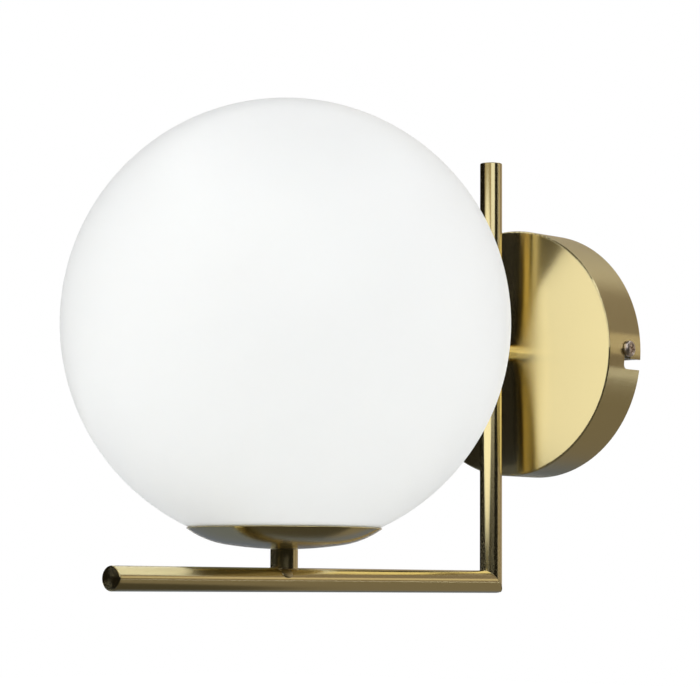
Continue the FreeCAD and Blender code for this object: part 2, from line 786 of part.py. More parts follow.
# ---- Globe ----
def globe_level():
    """Height of the globe's centre, where the globe clears the dish's rim by its gap."""
    inner_rim = side_point(rim_angle(dish_wall), dish_wall)[0]
    return rim_level + math.sqrt((globe_radius + globe_gap) ** 2 - inner_rim ** 2)


def globe_foot_level():
    """Height of the ground flat round the globe's hole."""
    return globe_level() - math.sqrt(globe_radius ** 2 - globe_foot_radius ** 2)


def whole_globe():
    """Blown opal globe with one round hole at the bottom and a ground flat round it."""
    ball = Part.makeSphere(globe_radius).cut(Part.makeSphere(globe_radius - globe_wall))
    ball.translate(Vector(0, 0, globe_level()))
    foot = globe_foot_level()
    ball = ball.cut(ring(0, globe_radius, foot - globe_radius, foot))
    return on_globe_axis(ball.cut(ring(0, globe_hole_radius, foot - globe_wall, foot + globe_band_height)))


def globe_band():
    """Space that the globe's lower band takes up, from its foot up."""
    foot = globe_foot_level()
    return on_globe_axis(ring(0, globe_radius + globe_wall, foot - globe_wall, foot + globe_band_height))


def globe_crown():
    """Space that the globe's upper cap takes up, down from above its top."""
    top = globe_level() + globe_radius
    return on_globe_axis(ring(0, globe_radius + globe_wall, top - globe_crown_height, top + globe_wall))


def glass_globe():
    """Belt of the blown globe, between its lower band and its upper cap."""
    return whole_globe().cut(globe_band()).cut(globe_crown())


def glass_crown():
    """The globe's upper cap. It is one piece of glass with the rest."""
    return whole_globe().common(globe_crown())


def glass_foot():
    """The globe's lower band, a ring round its hole. It is one piece of glass with the rest."""
    return whole_globe().common(globe_band())


# ---- Spring clip, washer and nut on the nipple ----
def clip_level():
    """Height of the underside of the clip's disc, where its edge meets the dish's floor."""
    return dish_inside_level(math.hypot(clip_disc_radius, clip_half_width)) + clip_bed


def globe_clip():
    """Sprung clip: a disc with three arms that rise and bow out against the edge of the globe's hole."""
    low = clip_level()
    thick = clip_thickness
    bow = globe_hole_radius - clip_gap
    foot = bow - clip_foot_inset
    tip = bow - clip_tip_inset
    root = clip_disc_radius - clip_overlap
    foot_level = dish_inside_level(foot) + clip_foot_gap
    bow_level = globe_foot_level() + globe_wall / 2
    top_level = bow_level + clip_height / 2
    arm = outline((root, low), (clip_disc_radius, low), (foot, foot_level),
                  (bow - clip_heel_inset, foot_level + clip_heel_rise),
                  ((bow, bow_level), (tip, top_level)), (tip - thick, top_level - clip_tip_slant),
                  ((bow - thick, bow_level), (tip - thick, foot_level + clip_inner_rise)),
                  (foot - thick, foot_level + thick), (clip_disc_radius, low + thick),
                  (root, low + thick))
    strip = arm.extrude(Vector(0, 2 * clip_half_width, 0)).translate(Vector(0, -clip_half_width, 0))
    clip = ring(0, clip_disc_radius, low, low + thick)
    for k in range(clip_count):
        turn = strip.copy()
        turn.rotate(Vector(0, 0, 0), Z_AXIS, 360 / clip_count * k + 90)
        clip = clip.fuse(turn)
    clip = clip.cut(ring(0, nipple_radius + hole_play, low - thick, low + 2 * thick))
    return on_globe_axis(clip)


def nipple_washer():
    """Lock washer on the nipple."""
    low = clip_level() + clip_thickness
    return on_globe_axis(ring(nipple_radius + nipple_washer_play, nipple_washer_radius,
                              low, low + nipple_washer_thickness))


def nut_level():
    """Height of the underside of the nut on the nipple."""
    return clip_level() + clip_thickness + nipple_washer_thickness


def nipple_nut():
    """Hexagon nut that clamps clip and dish to the neck."""
    low = nut_level()
    nut = hexagon(nipple_nut_flats, low, low + nipple_nut_height)
    return on_globe_axis(nut.cut(ring(0, nipple_radius + thread_clearance, low, low + 2 * nipple_nut_height)))


# ---- Lamp holder ----
def holder_foot():
    """Height of the lamp holder's foot."""
    return nut_level() + nipple_nut_height + holder_foot_gap


def holder_base():
    """Lower half of the holder's housing, screwed onto the nipple."""
    foot = holder_foot()
    top = foot + holder_base_height
    shoulder = foot + holder_shoulder
    floor = foot + holder_foot_thickness
    bevel = holder_foot_bevel
    step = holder_shoulder_step
    bore = nipple_radius + thread_clearance
    inside = base_radius - holder_wall
    section = outline((bore, foot), (holder_foot_radius, foot), (holder_foot_radius + bevel, foot + bevel),
                      ((base_radius - step, shoulder), (base_radius, shoulder + holder_shoulder)),
                      (base_radius, top), (inside, top), (inside, shoulder + holder_shoulder + step),
                      ((inside - step, shoulder + holder_wall), (holder_foot_radius - bevel, floor)),
                      (bore, floor))
    return on_globe_axis(turned(section))


def holder_skirt():
    """Upper half of the holder's housing, open at the top for the lamp."""
    low = holder_foot() + holder_base_height
    top = holder_foot() + holder_height
    inside = holder_radius - holder_wall
    section = outline((inside, low), (holder_radius, low), (holder_radius, top - skirt_bevel),
                      (holder_radius - skirt_bevel, top), (inside - skirt_lip, top),
                      (inside - skirt_lip, top - skirt_lip), (inside, top - 2 * skirt_lip))
    return on_globe_axis(turned(section))


def insert_range():
    """Lower and upper face of the holder's insulating insert."""
    low = holder_foot() + insert_level
    return low, low + insert_height


def holder_insert():
    """Insulating insert that carries the contacts, with two wire holes and two screw wells."""
    low, high = insert_range()
    body = ring(0, insert_radius, low, high)
    body = body.fuse(ring(carrier_radius + carrier_play, insert_radius, high,
                          holder_foot() + holder_base_height))
    for side in (-1, 1):
        body = body.cut(Part.makeCylinder(wire_radius + insert_wire_play, insert_height - insert_roof,
                                          Vector(side * terminal_offset, 0, low)))
        body = body.cut(Part.makeCylinder(insert_well_radius, insert_height,
                                          Vector(side * terminal_offset, terminal_side, low)))
    return on_globe_axis(body)


def holder_terminals():
    """The two clamping screws in the holder's insert."""
    level = insert_range()[0] + terminal_sunk
    screws = []
    for side in (-1, 1):
        screw = pan_screw(terminal_screw_radius, terminal_screw_length, terminal_head_radius,
                          terminal_head_height, terminal_recess_width, terminal_recess_depth)
        screw.rotate(Vector(0, 0, 0), X_AXIS, 180)
        screws.append(on_globe_axis(screw).translate(Vector(side * terminal_offset, terminal_side, level)))
    return Part.makeCompound(screws)


def tip_level():
    """Height of the lamp's tip, which presses on the centre contact."""
    return insert_range()[1] + contact_rise


def wave(low, radius, turns, upward):
    """Rounded screw profile as arcs: points for an outline, half a pitch each, from low or from the top."""
    steps = []
    half = cap_pitch / 2
    halves = range(2 * turns)
    for k in halves:
        bulge = cap_wave if (k % 2 == 0) == upward else -cap_wave
        direction = 1 if upward else -1
        start = low + direction * half * k
        steps.append(((radius + bulge, start + direction * half / 2), (radius, start + direction * half)))
    return steps


def thread_foot():
    """Height at which the lamp cap's thread starts."""
    return tip_level() + tip_height + insulator_height + thread_lead_in


def thread_head():
    """Height at which the lamp cap's thread ends."""
    return thread_foot() + cap_turns * cap_pitch


def holder_sleeve():
    """Thin threaded sleeve in the holder that the lamp screws into."""
    low, high = thread_foot(), thread_head()
    inner = cap_middle_radius + cap_play
    outer = inner + sleeve_wall
    foot = insert_range()[1] + side_contact_thickness
    section = outline((inner, low), *wave(low, inner, cap_turns, True), (outer, high),
                      *wave(high, outer, cap_turns, False), (outer, foot), (inner, foot))
    return on_globe_axis(turned(section))


def sleeve_carrier():
    """Insulating tube round the threaded sleeve, standing on the insert."""
    return on_globe_axis(ring(carrier_radius - carrier_wall, carrier_radius,
                              insert_range()[1], thread_head()))


def centre_contact():
    """Sprung brass tongue under the lamp's tip."""
    low = insert_range()[1]
    top = tip_level() - contact_gap
    thick = contact_thickness
    slope = contact_offset
    tongue = outline((contact_foot[0], low), (contact_foot[1] + slope, low),
                     (contact_top[0] + slope, top - thick), (contact_top[1], top - thick),
                     (contact_top[1], top), (contact_top[0] - slope, top),
                     (contact_foot[1] - slope, low + thick), (contact_foot[0], low + thick))
    tongue = tongue.extrude(Vector(0, 2 * contact_half_width, 0)).translate(Vector(0, -contact_half_width, 0))
    return on_globe_axis(tongue)


def side_contact():
    """Brass strip on the insert that joins the sleeve to its terminal."""
    low = insert_range()[1]
    return on_globe_axis(slab((side_contact_start, cap_middle_radius + cap_play + sleeve_wall),
                              (-contact_half_width, contact_half_width), (low, low + side_contact_thickness)))


# ---- Lamp ----
def lamp_cap():
    """Thin threaded shell of the lamp, with its flange on top."""
    low, high = thread_foot(), thread_head()
    outer = cap_middle_radius
    inner = outer - cap_shell_wall
    section = outline((insulator_radius, tip_level() + tip_height + insulator_height),
                      (outer, low), *wave(low, outer, cap_turns, True), (outer, high + flange_height),
                      (inner, high + flange_height), (inner, high), *wave(high, inner, cap_turns, False),
                      (insulator_radius, low + cap_skirt_wall))
    return on_globe_axis(turned(section))


def lamp_insulator():
    """Insulating cone between the lamp's tip and its shell."""
    low = tip_level() + tip_height
    high = low + insulator_height
    return on_globe_axis(turned(outline((0, low), (tip_radius, low),
                                        (tip_radius + insulator_step, low + insulator_lip),
                                        (insulator_radius, high), (0, high))))


def lamp_tip():
    """Tip contact of the lamp."""
    low = tip_level()
    high = low + tip_height
    edge = (tip_radius * tip_share, low + tip_rise)
    return on_globe_axis(turned(outline((0, low), (edge, (tip_radius, high)), (0, high))))


def dome_centre():
    """Height of the centre of the lamp's dome."""
    return tip_level() + lamp_length - lamp_radius


def lamp_waist():
    """Height at which the lamp's body meets its dome."""
    return dome_centre() - lamp_radius * waist_share


def waist_radius():
    """Radius at which the lamp's body meets its dome."""
    return lamp_radius * math.sqrt(1 - waist_share ** 2)


def lamp_body():
    """Moulded body of the lamp, from the cap out to the dome, closed on top by its board's seat."""
    foot = thread_head() + body_gap
    roof = foot + flange_height
    top = lamp_waist()
    wide = waist_radius()
    collar = cap_middle_radius + collar_wall
    bore = cap_middle_radius + body_fit
    inside = cap_middle_radius - body_inset
    start = holder_foot() + holder_height + body_clear
    outer_mid = (collar + body_bulge * (wide - collar), (start + top) / 2)
    inner_mid = (outer_mid[0] - flank_wall_share * body_wall, outer_mid[1] + flank_rise)
    section = outline((bore, foot), (collar, foot), (collar, start), (outer_mid, (wide, top)),
                      (board_seat(), top), (board_seat(), board_level()),
                      (board_seat() - board_ledge, board_level()), (inner_mid, (inside, start + flank_rise)),
                      (inside, roof), (bore, roof))
    return on_globe_axis(turned(section))


def lamp_dome():
    """Opal dome of the lamp: most of a sphere, with a rim that sits in the body."""
    level = dome_centre()
    low = lamp_waist() + body_fit
    dome = Part.makeSphere(lamp_radius).cut(Part.makeSphere(lamp_radius - dome_wall))
    dome.translate(Vector(0, 0, level))
    return on_globe_axis(dome.cut(ring(0, 2 * lamp_radius, low - 2 * lamp_radius, low)))


def board_level():
    """Height of the underside of the lamp's light board."""
    return lamp_waist() - board_thickness - board_drop


def board_seat():
    """Radius of the recess in the lamp's body that the light board sits in."""
    return waist_radius() - body_wall - board_seat_width


def led_board():
    """Round metal-core board with the light chips."""
    return on_globe_axis(ring(0, board_seat() - board_play, board_level(), board_level() + board_thickness))


def led_chips():
    """Ring of light chips on the board."""
    chips = []
    top = board_level() + board_thickness
    half = chip_size / 2
    circle = chip_circle_share * board_seat()
    for k in range(chip_count):
        chip = slab((circle - half, circle + half), (-half, half),
                    (top, top + chip_height))
        chip.rotate(Vector(0, 0, 0), Z_AXIS, 360 / chip_count * k)
        chips.append(on_globe_axis(chip))
    return Part.makeCompound(chips)


# ---- Wires ----
def feed_wire(side, pole):
    """Wire from the lamp holder down the neck, along the arm, up the upright and out of the stem."""
    x = side * wire_spacing / 2
    insert_foot = insert_range()[0]
    points = [Vector(side * terminal_offset, -globe_standoff, insert_foot + wire_in_holder),
              Vector(side * terminal_offset, -globe_standoff, insert_foot - wire_below_insert),
              Vector(x, -globe_standoff, dish_underside + nipple_above),
              Vector(x, -globe_standoff, arm_level),
              Vector(x, -upright_standoff, arm_level),
              Vector(x, -upright_standoff, 0),
              Vector(x, -pole_depth(), 0),
              Vector(pole, -pole_depth(), block_bottom - wire_turn_drop),
              Vector(pole, -pole_depth(), block_bottom + wire_in_block * block_height)]
    bends = (wire_holder_bend, wire_holder_bend, wire_bend, wire_bend, wire_bend,
             wire_end_bend, wire_end_bend)
    return bent_wire(points, bends, wire_radius)


def earth_lead():
    """Lead from the earth tag on the stem to the block's earth pole."""
    start = stack_levels()[3] - wire_radius + barrel_sink
    drop, rise = lead_drops
    points = [Vector(lead_start, -start, 0), Vector(lead_out, -start, 0),
              Vector(lead_out, -pole_depth(), block_bottom - drop),
              Vector(pole_pitch, -pole_depth(), block_bottom - rise),
              Vector(pole_pitch, -pole_depth(), block_bottom + wire_in_block * block_height)]
    return bent_wire(points, lead_bends, wire_radius)


def parts():
    """Every piece of the light, by the name of its node."""
    levels = stack_levels()
    neutral, live = poles()[:2]
    return {
        "wall_bracket": wall_bracket(),
        "side_screws": Part.makeCompound([side_screw(-1), side_screw(1)]),
        "earth_screw": earth_screw(),
        "earth_clamp": earth_clamp(),
        "wall_cup": wall_cup(),
        "stem": stem(),
        "terminal_strap": terminal_strap(),
        "stem_washer": stem_ring(washer_radius, levels[1], levels[2]),
        "earth_tag": earth_tag(),
        "stem_lock_washer": stem_ring(lock_washer_radius, levels[3], levels[4]),
        "stem_nut": stem_nut(),
        "terminal_block": terminal_block(),
        "terminal_sleeves": terminal_sleeves(),
        "clamp_screws": clamp_screws(),
        "block_screw": block_screw(),
        "earth_lead": earth_lead(),
        "live_wire": feed_wire(1, live),
        "neutral_wire": feed_wire(-1, neutral),
        "upright_tube": upright_tube(),
        "upright_cap": upright_cap(),
        "arm_tube": arm_tube(),
        "arm_cap": arm_cap(),
        "neck": neck(),
        "neck_nipple": neck_nipple(),
        "dish": dish(),
        "globe_seal": globe_seal(),
        "globe_clip": globe_clip(),
        "nipple_washer": nipple_washer(),
        "nipple_nut": nipple_nut(),
        "holder_base": holder_base(),
        "holder_skirt": holder_skirt(),
        "holder_insert": holder_insert(),
        "holder_terminals": holder_terminals(),
        "holder_sleeve": holder_sleeve(),
        "sleeve_carrier": sleeve_carrier(),
        "centre_contact": centre_contact(),
        "side_contact": side_contact(),
        "glass_globe": glass_globe(),
        "glass_crown": glass_crown(),
        "glass_foot": glass_foot(),
        "lamp_cap": lamp_cap(),
        "lamp_insulator": lamp_insulator(),
        "lamp_tip": lamp_tip(),
        "lamp_body": lamp_body(),
        "lamp_dome": lamp_dome(),
        "led_board": led_board(),
        "led_chips": led_chips(),
    }


def main():
    os.makedirs("parts", exist_ok=True)
    for name, shape in parts().items():
        if shape.isNull() or not shape.isValid():
            print("not valid:", name)
        shape.exportStep("parts/" + name + ".step")
        print(name, "solids", len(shape.Solids), "volume", round(shape.Volume, 1))
    print("globe centre", round(globe_level(), 3), "foot", round(globe_foot_level(), 3))


main()
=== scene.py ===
import enum
import logging
import math
from dataclasses import dataclass, replace

import bmesh
import bpy
from mathutils import Matrix, Vector


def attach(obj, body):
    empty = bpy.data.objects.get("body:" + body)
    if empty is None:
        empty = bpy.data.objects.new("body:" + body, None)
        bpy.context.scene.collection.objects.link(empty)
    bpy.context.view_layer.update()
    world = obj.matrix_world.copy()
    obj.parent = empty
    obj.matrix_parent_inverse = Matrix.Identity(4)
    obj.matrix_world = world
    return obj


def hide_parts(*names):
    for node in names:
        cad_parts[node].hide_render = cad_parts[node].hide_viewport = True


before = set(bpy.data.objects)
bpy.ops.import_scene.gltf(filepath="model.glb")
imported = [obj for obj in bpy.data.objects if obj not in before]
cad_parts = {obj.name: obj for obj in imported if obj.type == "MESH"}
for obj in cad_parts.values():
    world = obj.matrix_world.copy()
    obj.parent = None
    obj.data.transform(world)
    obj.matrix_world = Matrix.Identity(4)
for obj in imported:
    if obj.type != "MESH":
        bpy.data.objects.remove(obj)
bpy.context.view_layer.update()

# A wall light: an opal glass globe on a brass dish, carried by a mitred brass tube frame that stands
# out from a round wall cup. All sizes below are in millimetres, in the frame of the CAD model: the
# wall is y = 0, the light stands out towards -Y and +Z is up. Meshes are made in metres.
LOG = logging.getLogger("wall_light")
Profile = list[tuple[float, float]]
Point = tuple[float, float, float]
Tree = bpy.types.NodeTree
Source = bpy.types.NodeSocket | bpy.types.Node      # a node stands for its first output
Piece = bpy.types.Object
Sheet = bmesh.types.BMesh

GLOBE_STANDOFF = 187.5      # from the wall to the axis of globe, dish and neck
GLOBE_CENTRE = 2.272        # level of the globe's centre
DOUBLES_GAP = 0.002         # points nearer than this are one point
SMOOTH_TO = 32.0            # edge angle in degrees up to which a surface looks smooth
SCATTER_DEPTH = 6.0         # how far light spreads inside milky glass and plastic
SCATTER_TINT = (1.0, 0.97, 0.93)
QUARTER_TURN = 0.25         # lays the streaks of light across the marks, as a share of a full turn


# ---- Small helpers ----
def metres(size: float) -> float:
    """A size in millimetres, in metres."""
    return size / 1000


def in_metres(point: Point) -> Point:
    """A place in millimetres, in metres."""
    return tuple(metres(value) for value in point)


def turns(count: int) -> list[float]:
    """Angles of even steps round a full turn, in radians."""
    return [2 * math.pi * step / count for step in range(count)]


def linear(code: str) -> tuple[float, float, float, float]:
    """Turn an sRGB colour code into linear light.

    Args:
        code: A colour such as "#D9CA95".

    Returns:
        Linear red, green and blue, with an alpha of 1.
    """
    shares = [int(code[start:start + 2], 16) / 255 for start in (1, 3, 5)]
    light = [share / 12.92 if share <= 0.04045 else ((share + 0.055) / 1.055) ** 2.4
             for share in shares]
    return (light[0], light[1], light[2], 1.0)


def add(tree: Tree, kind: str, sockets: dict | list = (), **settings: object) -> bpy.types.Node:
    """Add a node with its settings and its links.

    Args:
        tree: Node tree that gets the node.
        kind: The node's class name.
        sockets: Value or source of each input, by its name or number, or all in order.
        **settings: Properties of the node itself.

    Returns:
        The new node.
    """
    node = tree.nodes.new(kind)
    for name, value in settings.items():
        setattr(node, name, value)
    for key, value in sockets.items() if isinstance(sockets, dict) else enumerate(sockets):
        if isinstance(value, bpy.types.Node):
            value = value.outputs[0]
        if isinstance(value, bpy.types.NodeSocket):
            tree.links.new(value, node.inputs[key])
        else:
            node.inputs[key].default_value = value
    return node


def empty_tree(owner: bpy.types.Material | bpy.types.World) -> Tree:
    """Node tree of a new material or world, with its first nodes cleared out."""
    owner.use_nodes = True
    owner.node_tree.nodes.clear()
    return owner.node_tree


def linked(name: str, data: bpy.types.ID) -> Piece:
    """New object at the origin, in the scene."""
    made = bpy.data.objects.new(name, data)
    bpy.context.scene.collection.objects.link(made)
    return made


# ---- Finishes ----
class Axis(enum.Enum):
    """Direction of a turned piece's own axis, and the letters of the two directions across it."""

    Y = ("Y", "X", "Z")
    Z = ("Z", "X", "Y")


class Pattern(enum.Enum):
    """How a surface varies from place to place."""

    ROUND = "fine marks that run round the axis of a turned piece"
    HOOPED = "fine marks that run round a straight tube"
    CLOUDED = "soft clouds in every direction"
    PEBBLED = "small even pebbles of a moulding tool"
    SPANGLED = "flat crystals with their own shade"
    STRIPED = "two colours in turn along the piece"


@dataclass(frozen=True)
class Finish:
    """A real material with the marks of how it was made, as one procedural material."""

    name: str
    base: str
    second: str
    pattern: Pattern
    grain: float
    roughness: float
    metallic: float = 0.0
    roughness_spread: float = 0.06
    relief: float = 0.0
    mottle: float = 0.3
    anisotropy: float = 0.0
    axis: Axis = Axis.Z
    centre: Point = (0.0, 0.0, 0.0)
    ior: float = 1.5
    subsurface: float = 0.0

    def coordinates(self, tree: Tree) -> Source:
        """Place on the piece that its pattern is read at, in grains.

        Args:
            tree: The material's node tree.

        Returns:
            A vector. Marks that run round an axis depend only on the distance from it and
            along it.
        """
        place = add(tree, "ShaderNodeTexCoord").outputs["Object"]
        start = tuple(-value for value in in_metres(self.centre))
        moved = add(tree, "ShaderNodeVectorMath", [place, start], operation="ADD")
        scaled = add(tree, "ShaderNodeVectorMath", {0: moved, "Scale": 1 / metres(self.grain)},
                     operation="SCALE")
        if self.pattern not in (Pattern.ROUND, Pattern.HOOPED):
            return scaled
        parts = add(tree, "ShaderNodeSeparateXYZ", [scaled]).outputs
        along, *sides = (parts[letter] for letter in self.axis.value)
        if self.pattern is Pattern.HOOPED:
            return add(tree, "ShaderNodeCombineXYZ", {"Y": along})
        squares = [add(tree, "ShaderNodeMath", [side, side], operation="MULTIPLY") for side in sides]
        both = add(tree, "ShaderNodeMath", squares, operation="ADD")
        distance = add(tree, "ShaderNodeMath", [both], operation="SQRT")
        return add(tree, "ShaderNodeCombineXYZ", {"X": distance, "Y": along})

    def shade(self, tree: Tree, place: Source) -> Source:
        """How light or dark the pattern is at a place, from 0 to 1.

        Args:
            tree: The material's node tree.
            place: The pattern's coordinates.

        Returns:
            A number.
        """
        if self.pattern is Pattern.PEBBLED:
            return add(tree, "ShaderNodeTexVoronoi", {"Vector": place, "Scale": 1.0},
                       feature="SMOOTH_F1").outputs["Distance"]
        if self.pattern is Pattern.SPANGLED:
            cell = add(tree, "ShaderNodeTexVoronoi", {"Vector": place, "Scale": 1.0}).outputs["Color"]
            return add(tree, "ShaderNodeSeparateColor", {0: cell})
        if self.pattern is Pattern.STRIPED:
            return add(tree, "ShaderNodeTexWave", {"Vector": place, "Scale": 0.5, "Distortion": 0.4},
                       bands_direction="DIAGONAL").outputs["Fac"]
        detail = {"Vector": place, "Scale": 1.0, "Detail": 4.0, "Roughness": 0.6}
        return add(tree, "ShaderNodeTexNoise", detail)

    def material(self) -> bpy.types.Material:
        """The finish as a material, made once.

        Returns:
            The material, named as the finish.
        """
        known = bpy.data.materials.get(self.name)
        if known:
            return known
        made = bpy.data.materials.new(self.name)
        made.diffuse_color = linear(self.base)
        tree = empty_tree(made)
        shade = self.shade(tree, self.coordinates(tree))
        strength = 1.0 if self.pattern is Pattern.STRIPED else self.mottle
        weight = add(tree, "ShaderNodeMath", [shade, strength], operation="MULTIPLY")
        colour = add(tree, "ShaderNodeMix", {0: weight, 6: linear(self.base), 7: linear(self.second)},
                     data_type="RGBA").outputs[2]
        roughness = add(tree, "ShaderNodeMapRange", {
            "Value": shade, "To Min": self.roughness - self.roughness_spread,
            "To Max": self.roughness + self.roughness_spread})
        sockets = {"Base Color": colour, "Roughness": roughness, "Metallic": self.metallic}
        if self.metallic < 1:
            sockets["IOR"] = self.ior
        if self.subsurface:
            sockets.update({"Subsurface Weight": self.subsurface,
                            "Subsurface Scale": metres(SCATTER_DEPTH),
                            "Subsurface Radius": SCATTER_TINT})
        if self.anisotropy:
            tangent = add(tree, "ShaderNodeTangent", direction_type="RADIAL", axis=self.axis.value[0])
            sockets.update({"Anisotropic": self.anisotropy, "Anisotropic Rotation": QUARTER_TURN,
                            "Tangent": tangent})
        if self.relief:
            sockets["Normal"] = add(tree, "ShaderNodeBump", {
                "Height": shade, "Distance": metres(self.relief), "Strength": 1.0})
        add(tree, "ShaderNodeOutputMaterial", [add(tree, "ShaderNodeBsdfPrincipled", sockets)])
        return made

    def around(self, name: str, axis: Axis, centre: Point) -> "Finish":
        """The same finish with its marks round another piece's axis.

        Args:
            name: Name of the piece, which is added to the finish's own.
            axis: Direction of the piece's axis.
            centre: A point on that axis.

        Returns:
            The new finish.
        """
        return replace(self, name=f"{self.name}.{name}", axis=axis, centre=centre)


# Brass sheet, turned against fine abrasive and lacquered. The eye gets pale straw yellow where it
# faces a light and brown to black where it faces none. The real marks are some 0.05 mm apart, too
# fine to show, so they are drawn at 0.5 mm.
SATIN_BRASS = Finish("satin_brass.turned_and_lacquered", "#F2E4B2", "#DDC886", Pattern.ROUND, 0.5, 0.18,
                     metallic=1.0, roughness_spread=0.03, relief=0.0008, anisotropy=0.88)
# The cup's face, brushed while it turned: longer streaks, which fan out from its middle.
BRUSHED_BRASS = replace(SATIN_BRASS, name="satin_brass.brushed_and_lacquered", roughness=0.22,
                        anisotropy=1.0)
# The same brass on straight tube, whose marks only change along the tube.
TUBE_BRASS = replace(SATIN_BRASS, name="satin_brass.drawn_and_lacquered", pattern=Pattern.HOOPED,
                     anisotropy=0.7)
# Opal glass, blown and etched to satin: a cool even white with a soft sheen and no sharp image.
OPAL_GLASS = Finish("opal_glass.blown_and_etched", "#F5F7F5", "#F1F4F1", Pattern.CLOUDED, 45.0, 0.42,
                    roughness_spread=0.04, mottle=0.4, subsurface=0.7)
# Zinc-plated strip steel, stamped: light grey with faint cool crystals.
ZINC_STEEL = Finish("zinc_steel.stamped", "#D9DDE1", "#AEB5BC", Pattern.SPANGLED, 3.0, 0.34,
                    metallic=1.0, mottle=0.5)
# Hardened spring strip, rolled: darker and bluer, with marks of the roll.
SPRING_STEEL = Finish("spring_steel.rolled", "#8E9298", "#6A6E75", Pattern.CLOUDED, 1.2, 0.3,
                      metallic=1.0, relief=0.003)
# Steel screws, nickel plated and barrelled: a bright warm grey, a little duller in patches.
SCREW_NICKEL = Finish("screw_steel.nickel_barrelled", "#EFE2D8", "#B8A698", Pattern.CLOUDED, 0.7, 0.3,
                      metallic=1.0, mottle=0.5, relief=0.006)
# Bare brass of nuts, washers and threaded rod, as it comes off the lathe.
PLAIN_BRASS = Finish("plain_brass.machined", "#D1B467", "#9A7B3A", Pattern.CLOUDED, 0.8, 0.32,
                     metallic=1.0, mottle=0.5, relief=0.004)
# Soft solder wiped at a joint and lacquered with the frame: pale gold and a little lumpy.
JOINT_SOLDER = Finish("joint_solder.wiped", "#E0D4B0", "#B3A06C", Pattern.CLOUDED, 0.9, 0.38,
                      metallic=1.0, mottle=0.6, relief=0.03)
# Nylon terminal block, moulded: milky white with the tool's fine texture.
BLOCK_NYLON = Finish("block_nylon.moulded", "#EDEBE3", "#DEDACE", Pattern.PEBBLED, 0.6, 0.5,
                     relief=0.01, ior=1.53, subsurface=0.2)
# Phenolic lamp holder, pressed: off-white, fairly glossy.
HOLDER_PHENOLIC = Finish("holder_phenolic.pressed", "#ECEAE4", "#DAD6CC", Pattern.CLOUDED, 2.5, 0.33,
                         relief=0.01, ior=1.6)
# Steatite insert, fired without glaze: chalky white.
STEATITE = Finish("steatite.fired", "#EFEBE1", "#D6CFC0", Pattern.PEBBLED, 0.5, 0.72, relief=0.02)
# Nickel-plated contact strip and lamp cap, drawn: bright warm grey.
NICKEL = Finish("nickel.drawn", "#C9C4BA", "#9C968B", Pattern.CLOUDED, 1.6, 0.22, metallic=1.0,
                mottle=0.4)
# Silicone ring, moulded: grey-white and matt.
SEAL_SILICONE = Finish("seal_silicone.moulded", "#D9DAD6", "#C7C8C3", Pattern.CLOUDED, 1.5, 0.62,
                       relief=0.02, ior=1.41)
# Lamp body of polycarbonate over aluminium, moulded: plain white with a fine texture.
LAMP_POLYCARBONATE = Finish("lamp_polycarbonate.moulded", "#F0F0EC", "#E3E3DD", Pattern.PEBBLED, 0.7,
                            0.45, relief=0.008, ior=1.58)
# Lamp dome of diffusing polycarbonate, moulded: milky, because light scatters in it.
LAMP_DIFFUSER = Finish("lamp_diffuser.moulded", "#F4F4F0", "#ECECE6", Pattern.CLOUDED, 8.0, 0.5,
                       ior=1.58, subsurface=0.6)
# Black glass bead in the lamp's cap, pressed: near black and shiny.
CAP_GLASS = Finish("cap_glass.pressed", "#17171A", "#26262B", Pattern.CLOUDED, 2.0, 0.15, ior=1.52)
# Aluminium board with a white solder mask, screen printed: flat white, faintly uneven.
BOARD_MASK = Finish("board_mask.printed", "#E9EAE6", "#CFD1CC", Pattern.CLOUDED, 1.4, 0.4, relief=0.006)
# Silicone over the chips, filled with yellow phosphor.
CHIP_PHOSPHOR = Finish("chip_phosphor.potted", "#E8C94E", "#D2A92C", Pattern.CLOUDED, 0.6, 0.35,
                       subsurface=0.2)
# PVC wire insulation, extruded: brown, blue, and green with yellow stripes.
WIRE_BROWN = Finish("wire_pvc.brown", "#5A3421", "#462617", Pattern.CLOUDED, 1.0, 0.4, relief=0.01)
WIRE_BLUE = Finish("wire_pvc.blue", "#2E6FB4", "#235A96", Pattern.CLOUDED, 1.0, 0.4, relief=0.01)
WIRE_EARTH = Finish("wire_pvc.green_and_yellow", "#2F8F45", "#E3D23C", Pattern.STRIPED, 3.0, 0.4)

SLOT_FINISHES: dict[str, Finish] = {
    "satin_brass": SATIN_BRASS, "opal_glass": OPAL_GLASS, "zinc_steel": ZINC_STEEL,
    "spring_steel": SPRING_STEEL, "brass_screws": SCREW_NICKEL, "plain_brass": PLAIN_BRASS,
    "block_plastic": BLOCK_NYLON, "holder_plastic": HOLDER_PHENOLIC, "insert_ceramic": STEATITE,
    "nickel": NICKEL, "seal_rubber": SEAL_SILICONE, "lamp_plastic": LAMP_POLYCARBONATE,
    "lamp_dome_plastic": LAMP_DIFFUSER, "lamp_insulator_black": CAP_GLASS, "board_metal": BOARD_MASK,
    "chip_phosphor": CHIP_PHOSPHOR, "wire_brown": WIRE_BROWN, "wire_blue": WIRE_BLUE,
    "wire_earth": WIRE_EARTH,
}


